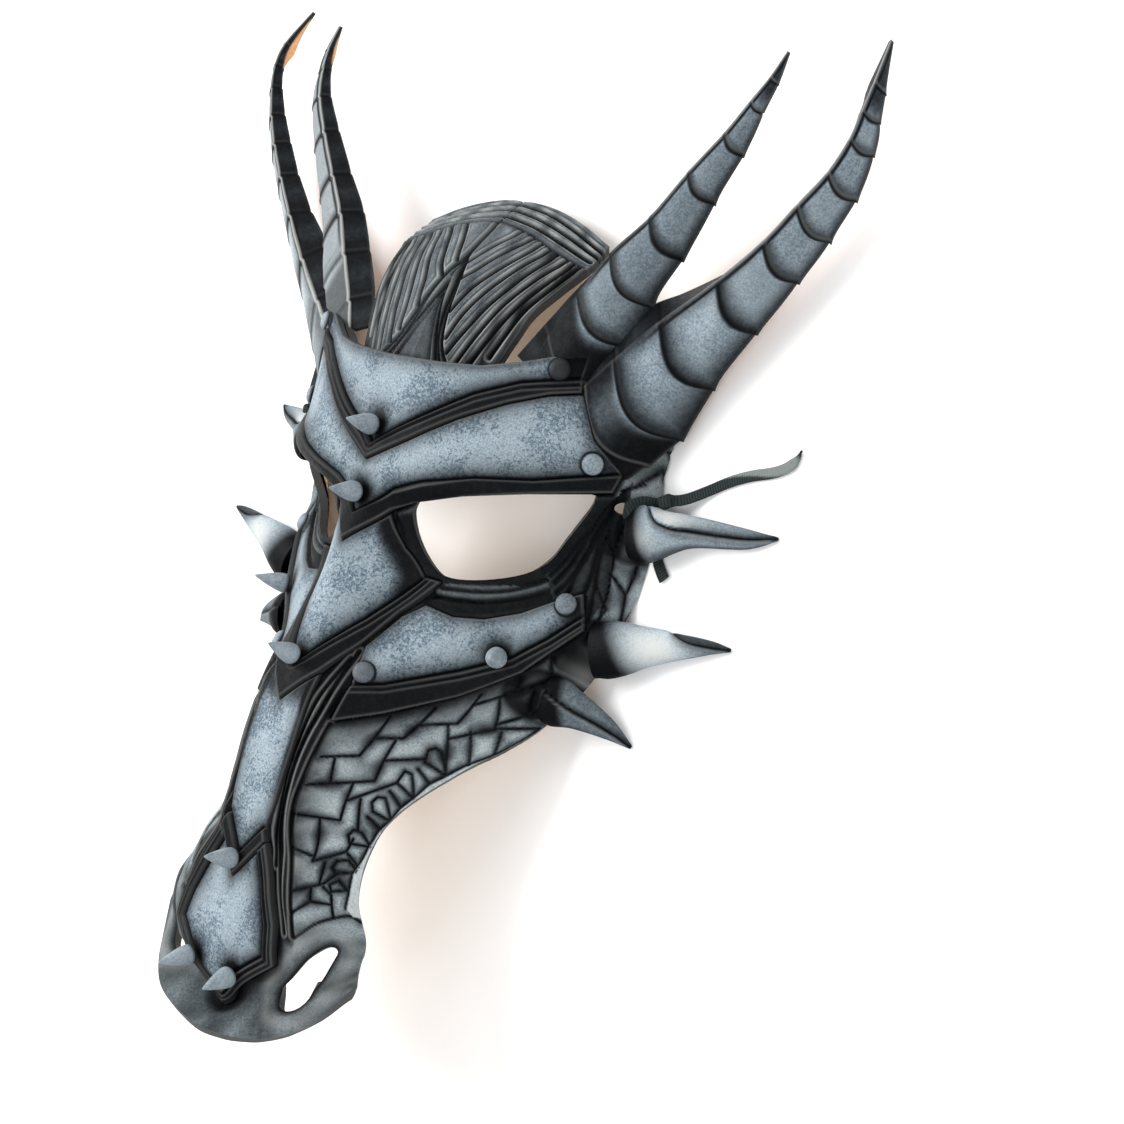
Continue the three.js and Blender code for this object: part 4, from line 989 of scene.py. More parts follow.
def face_relief(x, v, c, flat, sizes):
    """Height, blackness and paleness of the base leather, and the distance out from the plates."""
    plates = plate_outlines()
    under = np.zeros(x.shape, bool)
    for outline in plates:
        under |= inside(outline, np.abs(x), v)
    rims = np.vstack([on_face(closed(p, 0.5)) for p in plates])
    gap = distance(flat, rims[rims[:, 0] > 0.3])
    out = np.where(under, -gap, gap)
    visible = ramp(out, 0.2, 1.2)
    height = -3.6 + 1.7 * ramp(out, -1.2, 0.6) + 1.2 * ramp(out, 0.8, 4.5)
    temple = ramp(c, 5.1, 5.4) * ramp(v, -62, -50) * (1 - ramp(c, 5.6, 5.95))
    height -= 0.9 * temple * ramp(out, 0.8, 4.5)
    to_eye = distance(flat, on_face(closed(EYE_HOLE, 0.4)))
    eye_side = 1 - ramp(v - np.interp(x, [0, 13.5, 42.5, 78], [4, 12, 22.3, 30]), -3, 1)
    rim_zone = (1 - ramp(to_eye, 5.5, 7.5)) * eye_side * ramp(out, -0.5, 1.0)
    height = height + (0.4 - height) * rim_zone

    # Scales of the jaw and the temple, each lighter in the middle
    cut = distance(flat, tooled(SCALE_CUTS + TEMPLE_CUTS + [RIM_CUT], smooth=False))
    jaw = visible * (1 - rim_zone)
    height = height - jaw * (sizes.cut / MM * bell(cut, 0.5) + 0.45 * fade(cut, 1.5))
    cheek = np.array(CHEEK_LINES[3])
    low_cheek = np.interp(x, cheek[:, 0], cheek[:, 1])
    # Painted shade on the jaw under the edge of the cheek plate
    under_cheek = np.where((v < low_cheek) & (x > 17), fade(low_cheek - v - 1, 6), 0)
    clouds = 0.5 + 0.5 * np.sin(x * 0.31 + 1.3 * np.sin(v * 0.23)) * np.sin(v * 0.37 + 0.8 * np.sin(x * 0.19))
    spray = (0.62 + 0.3 * clouds) * fade(cut, 1.1 + 2.2 * clouds ** 2)
    dark = most(jaw * most(bell(cut, 0.62), spray), 0.8 * under_cheek * jaw)
    pale = 0.26 * jaw * ramp(cut, 1.2, 3.2) * (1 - clouds) ** 1.5
    pale = pale * (1 - under_cheek) * (1 - ramp(-v, 110, 118))
    pale = pale * (1 - 0.6 * ramp(v, -40, -25))

    # Ribs along the snout, and the black that runs beside them and round the muzzle plate
    rib = distance(flat, tooled(RIB_CUTS))
    height = height - visible * 1.2 * bell(rib, 0.8)
    past_band = np.abs(x) - np.interp(-v, *SNOUT_EDGE)
    band = (1 - ramp(past_band, -0.4, 1.2)) * ramp(-v, 28, 36) * (1 - ramp(-v, 128, 140))
    height = height + 1.3 * band * visible * bell(rib - 2.0, 1.3) * ramp(-v, 45, 52) * (1 - ramp(-v, 98, 104))
    muzzle_gap = distance(flat, on_face(dense(plates[-1][1:], 0.5)))
    dark = most(dark, band * (0.87 + 0.13 * bell(rib, 1.0)),
                0.75 * jaw * fade(past_band, 4) * ramp(-v, 40, 55) * (1 - ramp(-v, 112, 124)),
                np.where(v < -100, 0.97 * fade(muzzle_gap - 1.0, 2.8), 0))
    # A painted highlight along each rib in the black band
    pale = most(pale * (1 - band), 0.22 * band * bell(rib - 1.3, 0.35))

    # Fan of lines beside the eye
    fan = distance(flat, tooled(FAN_CUTS))
    fan_zone = inside(FAN, x, v).astype(float)
    height = height - 0.9 * fan_zone * bell(fan, 0.8)
    dark = most(dark, fan_zone * (0.7 + 0.3 * bell(fan, 0.8)))

    # Rim of the eye, with its two lines and the strip between them
    eye_cut = distance(flat, tooled(EYE_RIM_CUTS))
    crack = distance(flat, tooled([RIM_CRACK], smooth=False))
    near_eye = (1 - ramp(to_eye, 11, 14)) * visible * eye_side * (1 - fan_zone)
    height = height - near_eye * (1.1 * bell(eye_cut, 0.85) + 0.6 * bell(crack, 0.5))
    rim_dark = near_eye * (0.86 + 0.14 * bell(eye_cut, 0.95))
    dark = most(dark, rim_dark * (1 - 0.5 * (bell(eye_cut - 1.3, 0.9) * inside(EYE_STRIP, x, v))))
    pale = pale * (1 - most(near_eye, fan_zone))
    dark = most(dark, near_eye * bell(crack, 0.7))

    # Lip of the muzzle, rounded towards the nostril
    flange = distance(flat, tooled([FLANGE_CUT]))
    height = height - 0.9 * visible * bell(flange, 0.6)
    dark = most(dark, visible * most(bell(flange, 0.6), 0.5 * fade(flange, 2.2)))
    lip = ramp(-v, 118, 128)
    slot = distance(flat, on_face(closed(NOSTRIL_HOLE, 0.4)))
    height = height + lip * visible * (1.0 * bell(slot - 3.5, 3.0) - 0.6 * bell(slot, 1.2))
    dark = most(dark, 0.85 * lip * fade(muzzle_gap - 2, 6),
                lip * most(0.95 * fade(slot, 2.6), 0.35 * bell(slot - 7.5, 2.0)))
    # A painted highlight on the lip round the nostril
    pale = most(pale, 0.14 * lip * visible * bell(slot - 5.0, 2.4))

    # Pale strip along the edge of the jaw, and the shadows under the plates
    strip = inside(np.vstack([RIM_CUT, [[95, -45], [95, -120], [44, -119]]]), x, v) & (v < -48) & (v > -119)
    dark = np.where(strip, 0.75 * bell(cut, 0.45), dark)
    pale = np.where(strip, (0.12 + 0.24 * ramp(-v, 88, 105)) * (1 - 0.8 * bell(cut, 0.5)), pale)
    height = np.where(strip, height + 0.2, height)
    shadow = 0.9 * (1 - ramp(out, 0.6, 3.2)) * (out > -0.3)
    tone = (0.28 + 0.3 * clouds) * lip + (0.1 + 0.3 * clouds) * ramp(v, -60, -10) * (1 - rim_zone)
    dark = most(dark, np.where(strip, 0, shadow), ramp(-out, 0.5, 1.5), np.where(strip, 0, tone * visible))

    # Painted shade round the tie's hole and the roots of the spikes and the horns
    hole = distance(flat, on_face([TIE_SPOT]))
    dark = most(dark, 0.8 * fade(hole - TIE_HOLE, 2.5))
    for axis in SPIKES.values():
        away = np.linalg.norm((flat - lay(axis[0][:3])) * (0.6, 1, 0.6), axis=-1)
        dark = most(dark, 0.9 * fade(away - axis[0][3] / 2, 2.5))
    for horn in (LOWER_HORN, UPPER_HORN):
        away = np.linalg.norm(flat - lay(horn[1][:3]), axis=-1)
        dark = most(dark, 0.85 * fade(away - 18, 6))
    return height, np.clip(dark, 0, 1), np.clip(pale, 0, 1), out


def grown(outline, amount):
    """A closed outline moved outwards."""
    p = np.asarray(outline, float)
    along = unit(np.roll(p, -1, axis=0) - np.roll(p, 1, axis=0))
    beside = np.stack([along[:, 1], -along[:, 0]], -1)
    area = (p[:, 0] * np.roll(p[:, 1], -1) - p[:, 1] * np.roll(p[:, 0], -1)).sum()
    return p + beside * amount * np.sign(area)


def snapped(x, v, outline, keep):
    """Drops the quads inside an outline and pulls the points left inside it onto the outline."""
    within = inside(outline, x, v)
    full = within[:-1, :-1] & within[1:, :-1] & within[1:, 1:] & within[:-1, 1:]
    keep &= ~full
    line = closed(outline, 0.15)
    for i, j in zip(*np.nonzero(within)):
        k = ((line[:, 0] - x[i, j]) ** 2 + (line[:, 1] - v[i, j]) ** 2).argmin()
        x[i, j], v[i, j] = line[k]
    return x, v, keep


def face_rows(spacing):
    """Heights of the grid's rows on the face, closest together between the eyes and the muzzle."""
    return np.concatenate([np.linspace(74, 32, int(42 / (spacing * 1.3)), endpoint=False),
                           np.linspace(32, -122, int(154 / spacing), endpoint=False),
                           np.linspace(-122, -167, int(45 / (spacing * 1.4)))])


def face_half(spacing, columns, wider=0.0):
    """The left half of the base leather as a grid, with its holes made wider by so much."""
    rows = face_rows(spacing)
    c = np.concatenate([np.linspace(0, 1, columns // 8, endpoint=False), np.linspace(1, 6.0, columns)])
    vv, cc = np.meshgrid(rows, c, indexing="ij")
    top = np.array(FOREHEAD_TOP)
    edge = np.interp(np.minimum(np.abs(face.at(74, cc)[..., 0]), 66), top[:, 0], top[:, 1]) - 1
    vv = np.where(vv <= 50, vv, 50 + (vv - 50) * (edge - 50) / 24)
    x = face.at(vv, cc)[..., 0].copy()
    v = vv.copy()
    keep = np.ones((len(rows) - 1, len(c) - 1), bool)
    for outline in (EYE_HOLE, NOSTRIL_HOLE):
        x, v, keep = snapped(x, v, grown(outline, wider), keep)
    turn = np.linspace(0, 2 * math.pi, 24, endpoint=False)
    hole = TIE_SPOT + (TIE_HOLE + wider) * np.array([[math.cos(a), math.sin(a)] for a in turn])
    x, v, keep = snapped(x, v, hole, keep)
    moved = (np.abs(v - vv) > 1e-9) | (np.abs(x - face.at(vv, cc)[..., 0]) > 1e-9)
    return x, v, np.where(moved, face.across(v, x), cc), keep


def mirrored_grid(grid, flip=False):
    """A left half with its mirror image; flip is for points and directions."""
    left = grid[:, :0:-1]
    if flip:
        left = left * (-1, 1, 1)
    return np.concatenate([left, grid], axis=1)


# Room between the rows and number of columns of the face and of its lining; the lining's holes are wider
FACE_GRID = (0.5, 150)
LINING_GRID = (2.4, 44, 2.0)


class MASK_OT_face(bpy.types.Operator):
    """Base leather of the face with its scales, ribs, eye rims and muzzle lip, and its raw back"""
    bl_idname = "mask.face"
    bl_label = "Face"

    def execute(self, context):
        sizes = context.scene.mask_sizes
        thick = sizes.leather / MM
        x, v, c, keep = face_half(*FACE_GRID)
        flat = face.lifted(v, c)
        normal = face.normal(v, c)
        height, dark, pale, out = face_relief(x, v, c, flat, sizes)
        covered = out < -1.8
        keep &= ~(covered[:-1, :-1] & covered[1:, :-1] & covered[1:, 1:] & covered[:-1, 1:])
        top = flat + normal * height[..., None]
        off_floor(top, 0.4)
        values = {"dark": mirrored_grid(dark), "pale": mirrored_grid(pale)}
        keep = np.concatenate([keep[:, ::-1], keep], axis=1)
        mesh = sheet_mesh(mirrored_grid(top, True), mirrored_grid(normal, True), values, thick, keep,
                          under=False, cut=0.9)
        off_floor(mesh[0], 0.05)
        piece("face", "face_shell", mesh, finish("scale"), 60)

        x, v, c, keep = face_half(*LINING_GRID)
        flat = face.lifted(v, c)
        normal = face.normal(v, c)
        height = face_relief(x, v, c, flat, sizes)[0]
        back = flat + normal * (np.minimum(height, -0.6) - thick)[..., None]
        off_floor(back, 0.05)
        back = mirrored_grid(back, True)
        plain = {"dark": np.zeros(back.shape[:2]), "pale": np.zeros(back.shape[:2])}
        keep = np.concatenate([keep[:, ::-1], keep], axis=1)
        lining = sheet_mesh(back, -mirrored_grid(normal, True), plain, 0.05, keep, under=False)
        lining[2]["raw"][:] = 1
        piece("face_back", None, lining, finish("scale"), 60)
        return {"FINISHED"}


CREST_THICKNESS = 3.0


def crest_cloud(lines):
    """Laid points along lines of [point across, height] on the crest."""
    marks = [dense(smooth_line(line), 0.02) for line in lines]
    return np.vstack([crown.lifted(p[:, 1], p[:, 0]) for p in marks])


class MASK_OT_crest(bpy.types.Operator):
    """Head crest with strands on a centre seam"""
    bl_idname = "mask.crest"
    bl_label = "Crest"

    def execute(self, context):
        half = np.linspace(0, 3, 118)
        v, c = np.meshgrid(np.linspace(120, 60, 165), half, indexing="ij")
        flat = crown.lifted(v, c)
        normal = crown.normal(v, c)
        strands = distance(flat, crest_cloud(CREST_CUTS))
        strips = distance(flat, crest_cloud(CREST_STRIPS))
        rear = distance(flat, crest_cloud([CREST_REAR]))
        layers = distance(flat, crest_cloud(CREST_REAR_CUTS))
        seam = np.abs(flat[..., 0])
        edge = distance(flat, np.vstack([flat[:, -1], flat[0]]))

        # The layers behind, the strips of the centre seam, the flap below them and the strands in front
        line = np.array(CREST_REAR)
        behind = v > np.interp(c, line[:, 0], line[:, 1])
        outer = np.array(CREST_STRIPS[1])
        in_strip = (c < np.interp(-v, -outer[:, 1], outer[:, 0]) + 0.02) & (v < 98)
        flap = inside([[0, 86], [0.85, 60], [0, 60]], c, v)
        front = ~behind & ~in_strip
        gap = np.where(behind, layers, np.where(in_strip, strips, np.minimum(strands, strips)))
        fine = bell(gap - 2.1, 0.4) * ~in_strip * ~flap

        height = 1.0 - 1.9 * bell(gap, 0.95) - 0.4 * bell(gap, 2.0) - 0.35 * fine
        height = height + np.where(behind, -1.0 * bell(rear, 1.2), 0.4 * bell(rear - 1.5, 1.6))
        height = np.where(flap, -0.4 - 0.8 * bell(strips, 0.9), height)
        height = height - 0.9 * bell(seam, 0.7) * (v > 84)
        height = height - 0.8 * np.clip(1 - edge / 1.2, 0, 1) ** 2

        dark = most(bell(gap, 1.0), 0.85 * fade(gap, 1.6), 0.6 * fine, 0.95 * bell(seam, 0.7) * (v > 84),
                    0.9 * fade(rear, 1.6))
        dark = np.where(flap, most(0.8 * fade(strips, 1.8), 0.7 * (1 - ramp(v, 62, 68))), dark)
        streaks = 0.5 + 0.5 * np.sin(9 * c + 0.08 * v) * np.sin(0.21 * v + 2.2 * c)
        dark = most(dark, (0.12 + 0.3 * streaks) + 0.45 * front * ramp(c, 1.4, 2.7),
                    0.45 * (1 - ramp(v, 62, 74)) * front, 0.5 * in_strip)
        # Painted highlights along the strands where the streaks are light, and a pale cut edge
        pale = 0.5 * bell(gap - 1.35, 0.4) * (1 - flap) * (1 - streaks) + 0.1 * bell(edge - 0.5, 0.4)

        top = flat + normal * height[..., None]
        values = {"dark": mirrored_grid(dark), "pale": mirrored_grid(np.clip(pale, 0, 1))}
        # The right half and the centre line get less black: painted light on the side the key light falls on
        values["dark"][:, :len(half)] *= 0.82
        mesh = sheet_mesh(mirrored_grid(top, True), mirrored_grid(normal, True), values,
                          mirrored_grid(height + CREST_THICKNESS), cut=0.8)
        piece("crest", "crest_cap", mesh, finish("crest"), 60)
        return {"FINISHED"}


# Horns and spikes


def chord_curve(points, samples):
    """A smooth curve through points, with samples values of t from 0 to 1 by equal rows."""
    p = np.asarray(points, float)
    n = len(p)
    t = np.asarray(samples) * (n - 1)
    k = np.clip(t.astype(int), 0, n - 2)
    f = (t - k)[:, None]
    slope = np.empty_like(p)
    slope[1:-1] = (p[2:] - p[:-2]) / 2
    slope[0] = p[1] - p[0]
    slope[-1] = p[-1] - p[-2]
    out = hermite(p[k], p[k + 1], slope[k], slope[k + 1], f)
    ahead = (hermite(p[k], p[k + 1], slope[k], slope[k + 1], np.minimum(f + 1e-3, 1))
             - hermite(p[k], p[k + 1], slope[k], slope[k + 1], np.maximum(f - 1e-3, 0)))
    return out, unit(ahead)


# Rows of the grid from one ring of a horn to the next, and columns on its flank and on its front
RING_ROWS = 16
FLANK_COLUMNS = 12
FRONT_COLUMNS = 41


def horn_mesh(rows, lean, swelling, root_end, tone, open_back):
    """A horn as a grid: its flank from the back edge to the ridge, then its front of rings."""
    table = np.array(rows, float)
    n = len(rows)
    t = np.linspace(0, 1, (n - 1) * RING_ROWS + 1)
    ridge, ahead = chord_curve(lay(table[:, :3]), t)
    ring = t * (n - 1)
    w = np.interp(ring, np.arange(n), table[:, 3])[:, None]

    # Directions across the front and out of it, which lean back along the horn
    outward = laid_direction([0.66, -0.6, -0.4])
    across = unit(outward - ahead * (ahead @ outward)[:, None])
    front = unit(np.cross(across, ahead))
    back = np.radians(lean * np.minimum(ring / 3, 1))[:, None]
    across, front = (across * np.cos(back) - front * np.sin(back),
                     front * np.cos(back) + across * np.sin(back))
    turn = np.radians(40 + 45 * np.minimum(t / 0.3, 1) + lean * np.clip(ring - 3, 0, 1))[:, None]
    opened = open_back * bell(ring - (n - 2.1), 0.65)[:, None]
    flank = 1 + 0.34 * w + opened

    # Shape: each ring's lower edge stands over the one before it
    s = np.concatenate([np.linspace(-1, -0.05, FLANK_COLUMNS), np.linspace(0, 1, FRONT_COLUMNS)])
    grid_s, grid_ring = np.meshgrid(s, ring, indexing="xy")
    front_side = grid_s >= 0
    arc = np.clip(grid_s, 0, 1)
    size = np.clip(w / 14, 0.12, 1)
    part = ring - np.floor(ring)
    length = (np.linalg.norm(np.gradient(ridge, axis=0), axis=-1) * RING_ROWS)[:, None]
    past = part[:, None] * length
    before = (1 - part)[:, None] * length
    jointed = ((ring > 0.9) & (ring < n - 1.02))[:, None]
    ends = ((ring < 0.98) | (ring > n - 1.02))[:, None]
    lip = np.where(ends, 0, 1.1 * fade(past, 0.09 * w + 0.4))
    lip = lip - np.where((ring < n - 2)[:, None], 0.7 * bell(before, 0.55), 0)
    lip = lip * size
    bulge = swelling * w * np.sin(np.pi * arc) ** 0.9
    swell = np.sin(np.pi * part)[:, None] * 0.02 * w
    a = np.where(front_side, arc * (w + 0.9 * lip), -np.abs(grid_s) * flank * np.cos(turn))
    b = np.where(front_side, bulge + lip * (0.8 - 0.5 * arc) + swell,
                 -np.abs(grid_s) * flank * np.sin(turn) + 0.35 * lip)
    b = b + 0.3 * size * bell(grid_s, 0.04)
    sag = -0.20 * w * np.sin(np.pi * arc) * ramp(grid_ring, 0.3, 1.0) - 0.08 * w * arc
    along = np.where(front_side, sag, 0)
    along = along - np.where(front_side, 0.9 * np.clip(lip, 0, 1) * ramp(arc, 0.9, 1.0), 0)
    points = (ridge[:, None] + across[:, None] * a[..., None] + front[:, None] * b[..., None]
              + ahead[:, None] * along[..., None])
    normal = np.cross(np.gradient(points, axis=1), np.gradient(points, axis=0))
    span = np.linalg.norm(normal, axis=-1, keepdims=True)
    normal /= np.where(span < 1e-9, 1, span)
    if (normal * front[:, None]).sum() < 0:
        normal = -normal

    # Black along the joints, the outer edge, the ridge, the root and the tip, and over the flank, with
    # painted shade on each ring's upper end under the next ring's lip
    line = np.where(jointed, most(bell(before, 0.65), bell(past, 0.35)), 0)
    shade = np.where(jointed & (ring < n - 1)[:, None], 0.97 * fade(past, 0.19 * w + 0.5), 0)
    outer = np.clip(w * (1 - arc), 0, None)
    outer_reach = w * (0.19 + 0.12 * (1 - ramp(ring, 1.5, 4))[:, None]) + 0.3
    dark = most(line, shade, 0.35 * fade(before, 0.1 * w + 0.3), 0.92 * fade(outer, outer_reach),
                0.72 * fade(w * arc, 0.11 * w + 0.3))
    dark = most(dark, tone + 0.5 * tone * (1 - dark), ramp(grid_ring, n - 3.4, n - 2.2) * 0.72,
                0.22 * (1 - ramp(w, 18, 26)))
    root = (1 - ramp(grid_ring + 0.1 * np.sin(3.1 * arc), root_end - 0.25, root_end + 0.2))
    lighter = (0.4 - 1.6 * tone) * bell(arc - 0.3, 0.22) * ramp(grid_ring, 0.9, 1.3)
    dark = most(dark, root * (0.92 - lighter))
    dark = np.where(front_side, dark, most(line, 0.88 - 0.12 * bell(part[:, None] - 0.5, 0.25)))
    dark = most(dark, 0.95 * bell(np.abs(grid_s * w) - 1.2, 0.6) * ramp(ring, 1.5, 3)[:, None])

    # Pale lines along the ridge, the joints and the edges, and raw leather where the back opens
    ridge_line = (0.02 + 0.5 * ramp(ring, 2.5, 5))[:, None] * bell(grid_s * w, 0.38)
    pale = most(ridge_line + np.where(jointed & front_side, 0.12 * bell(past - 0.75, 0.3), 0),
                np.where(front_side, 0.1 * bell(outer - 0.2, 0.4),
                         0.05 * bell((1 + grid_s) * flank - opened, 0.5)),
                np.where(jointed & ~front_side, 0.03 * bell(past - 0.9, 0.4), 0))
    reach = -grid_s * flank - (flank - opened)
    raw = np.where(front_side, 0, ramp(reach, -0.3, 0.2) * ramp(opened, 0.2, 0.5))
    thick = np.minimum(2.2, w * 0.28) * 0.8 * np.ones_like(grid_s)
    return points, normal, {"dark": np.clip(dark, 0, 1), "pale": np.clip(pale, 0, 1), "raw": raw}, thick


def right_paint(values):
    """Paint of a right horn: its front is lighter and its ridge line brighter, painted highlights on the side
    the key light falls on.
    """
    dark = values["dark"].copy()
    dark[:2 * RING_ROWS + 4, FLANK_COLUMNS:] *= 0.7
    lit = 0.4 * (1 - dark) ** 1.5
    lit[:, :FLANK_COLUMNS] = 0
    pale = most(values["pale"], lit)
    pale[:, FLANK_COLUMNS] = most(pale[:, FLANK_COLUMNS], 0.7)
    return {**values, "dark": dark, "pale": pale}


# Points all over the temples with their directions, filled in when first used
FACE_SAMPLES = {}


def over_face(points):
    """Height of points above the face, and the spot on it below them."""
    if not FACE_SAMPLES:
        v, c = np.meshgrid(np.linspace(76, -60, 137), np.linspace(2.5, 6, 90), indexing="ij")
        place = face.lifted(v, c).reshape(-1, 3)
        FACE_SAMPLES.update(tree=tree_of(place), place=place, normal=face.normal(v, c).reshape(-1, 3),
                            spot=np.stack([face.at(v, c)[..., 0], v, c], -1).reshape(-1, 3))
    flat = points.reshape(-1, 3)
    index = np.array([FACE_SAMPLES["tree"].find(p)[1] for p in flat])
    normal = FACE_SAMPLES["normal"][index]
    offset = flat - FACE_SAMPLES["place"][index]
    height = (offset * normal).sum(-1)
    aside = offset - normal * height[:, None]
    spot = FACE_SAMPLES["spot"][index] + np.stack(
        [aside[:, 0], aside @ laid_direction([0, 1, 0]), np.zeros(len(flat))], -1)
    return height.reshape(points.shape[:-1]), spot.reshape(*points.shape[:-1], 3)


def sunk(points, clear_of_plates):
    """Which points are within the leather of the face, or of the plates on the forehead."""
    height, spot = over_face(points)
    x, v = spot[..., 0], spot[..., 1]
    top = np.interp(x, np.array(FOREHEAD_TOP)[:, 0], np.array(FOREHEAD_TOP)[:, 1])
    on_it = (spot[..., 2] < 5.96) & (v < top - 1.5)
    inner = on_it & (height < -3.0)
    if clear_of_plates:
        for outline, level in zip(plate_outlines()[:2], (9, 4)):
            inner |= inside(outline, x, v) & on_it & (height < level)
    return inner


def trimmed(points, clear_of_plates):
    """A grid cut off where it runs into the face: its points at the cut, and the quads to keep."""
    points = points.copy()
    inner = sunk(points, clear_of_plates)
    rows, columns = inner.shape
    steps = ((0, 1), (0, -1), (1, 0), (-1, 0), (1, 1), (1, -1), (-1, 1), (-1, -1))
    moved, towards = [], []
    for i, j in zip(*np.nonzero(inner)):
        near = [(i + a, j + b) for a, b in steps
                if 0 <= i + a < rows and 0 <= j + b < columns and not inner[i + a, j + b]]
        if near:
            moved.append((i, j))
            towards.append(near[0])
    if moved:
        i, j = np.array(moved).T
        k, m = np.array(towards).T
        start, free = points[i, j], points[k, m]
        for _ in range(7):
            middle = (start + free) / 2
            bad = sunk(middle, clear_of_plates)[:, None]
            start = np.where(bad, middle, start)
            free = np.where(bad, free, middle)
        points[i, j] = free
    keep = ~(inner[:-1, :-1] & inner[1:, :-1] & inner[1:, 1:] & inner[:-1, 1:])
    return points, keep


class MASK_OT_horns(bpy.types.Operator):
    """Ringed horns rolled from leather"""
    bl_idname = "mask.horns"
    bl_label = "Horns"

    def execute(self, context):
        for level, rows in (("lower", LOWER_HORN), ("upper", UPPER_HORN)):
            points, normal, values, thick = horn_mesh(rows, *FRONTS[level])
            points, keep = trimmed(points, True)
            for side, sign in SIDES:
                paint = right_paint(values) if side == "right" else {**values, "raw": 0 * values["raw"]}
                mesh = sheet_mesh(points, normal, paint, thick, keep, cut=0.2, sign=sign)
                off_floor(mesh[0], 0.1)
                piece(f"{level}_horn_{side}", f"horn_{level}_{side}", mesh,
                      finish("horn"), 55)
        return {"FINISHED"}


def spike_mesh(axis, level):
    """A rolled spike: rings of points from the root to the tip, with the rolled edge as a step."""
    fold_at, flap_reach, flap_dark, flap_rise, edge_dark, tone = SPIKE_PAINT[level]
    table = np.array(axis, float)
    n = len(axis)
    t = np.linspace(0, 1, 90)
    line, ahead = chord_curve(lay(table[:, :3]), t)
    ring = t * (n - 1)
    tall = np.interp(ring, np.arange(n), table[:, 3])
    deep = np.interp(ring, np.arange(n), table[:, 4])
    up = unit(np.array([0, 1.0, 0]) - ahead * ahead[:, 1:2])
    out = np.cross(ahead, up)
    angle = np.linspace(0, 2 * math.pi, 73)
    marks = np.array(SPIKE_SEAMS[level], float)
    seam = np.radians(np.interp(t, marks[:, 0], marks[:, 1]))
    seam = np.convolve(np.pad(seam, 4, mode="edge"), np.ones(9) / 9, mode="valid")
    turned = (angle[None] - seam[:, None] + math.pi) % (2 * math.pi) - math.pi
    radius = np.hypot(tall[:, None] / 2 * np.sin(angle[None]), deep[:, None] / 2 * np.cos(angle[None]))
    arc = turned * radius
    size = np.clip(tall / 10, 0.1, 1)[:, None]
    swell = 1 + 0.10 * bell(t - 0.16, 0.12)[:, None] - 0.12 * bell(t, 0.05)[:, None]
    step = size * (0.7 * fade(arc, 2.0) * (arc > 0) - 0.9 * bell(arc, 0.55))
    a = tall[:, None] / 2 * np.cos(angle)[None] * swell
    b = deep[:, None] / 2 * np.sin(angle)[None] * swell
    norm = np.hypot(a, b) + 1e-6
    a = a * (1 + step / norm)
    b = b * (1 + step / norm)
    points = line[:, None] + up[:, None] * a[..., None] + out[:, None] * b[..., None]
    normal = unit(points - line[:, None])

    # Black at the root, on both sides of the fold and at the tip, and painted shade under the spike
    root = t[:, None] * np.linalg.norm(lay(table[-1, :3]) - lay(table[0, :3]))
    fold = ramp(t, *fold_at)[:, None]
    flap = (arc <= 0) & (angle[None] < math.pi)
    above = fade(-arc, flap_reach) * flap
    above = above * (flap_dark + flap_rise * ramp(t, 0.3, 0.5))[:, None]
    below = fade(arc, 2.4) * (arc > 0)
    ridges = bell(np.sin(angle)[None] * np.ones_like(arc), 0.4)
    lower_edge = bell((angle[None] - math.pi) * radius, 0.32 * tall[:, None]) * np.ones_like(arc)
    dark = most(0.98 * fade(root - 5 + 2.5 * np.cos(angle)[None], 4.2),
                fold * most(bell(arc, 0.6), above, 0.7 * below),
                0.7 * ridges * ramp(t, 0.4, 0.75)[:, None],
                edge_dark * lower_edge, 0.85 * ramp(t, 0.9, 0.98)[:, None], tone)
    dark = np.clip(dark, 0, 1)

    # Painted highlights on the middles of the upper two spikes
    pale = 0.12 * bell(arc - 1.0, 0.35) * fold
    if level == "upper":
        bright = 0.5 * bell(t - 0.16, 0.09)[:, None] * bell(angle - 1.9, 0.5)[None]
        on_flap = bell(t - 0.36, 0.16)[:, None] * (arc < -1.2) * (angle[None] < math.pi)
        pale = most(pale, most(bright, 0.85 * on_flap) * (1 - dark))
    if level == "middle":
        bright = 0.95 * bell(t - 0.36, 0.2)[:, None] * np.clip(np.sin(angle - 0.2), 0, 1)[None]
        pale = most(pale, bright * (1 - dark) ** 2)
    return points, normal, {"dark": dark, "pale": np.clip(pale, 0, 1)}


class MASK_OT_spikes(bpy.types.Operator):
    """Rolled leather spikes on the temples and the jaw"""
    bl_idname = "mask.spikes"
    bl_label = "Spikes"

    def execute(self, context):
        for level, axis in SPIKES.items():
            for side, sign in SIDES:
                shorter, drop = RIGHT_SPIKES[level] if side == "right" else (1, 0)
                table = np.array(axis, float)
                table[:, 0] = table[0, 0] + (table[:, 0] - table[0, 0]) * shorter
                table[:, 1] -= drop
                table[:, 2] += drop * math.sin(TILT)
                points, normal, values = spike_mesh(table, level)
                points, keep = trimmed(points, False)
                mesh = sheet_mesh(points, normal, values, 0.3, keep, under=False, cut=0.2, sign=sign)
                off_floor(mesh[0], 0.15)
                piece(f"{level}_spike_{side}", f"side_spike_{level}_{side}", mesh,
                      finish("horn"), 60)
        return {"FINISHED"}


# Studs


def ring_faces(rings, sides):
    """Quads between rings of points, each ring with as many points as there are sides."""
    faces = []
    for i in range(rings - 1):
        for j in range(sides):
            k = (j + 1) % sides
            faces.append([i * sides + j, i * sides + k, (i + 1) * sides + k, (i + 1) * sides + j])
    return faces


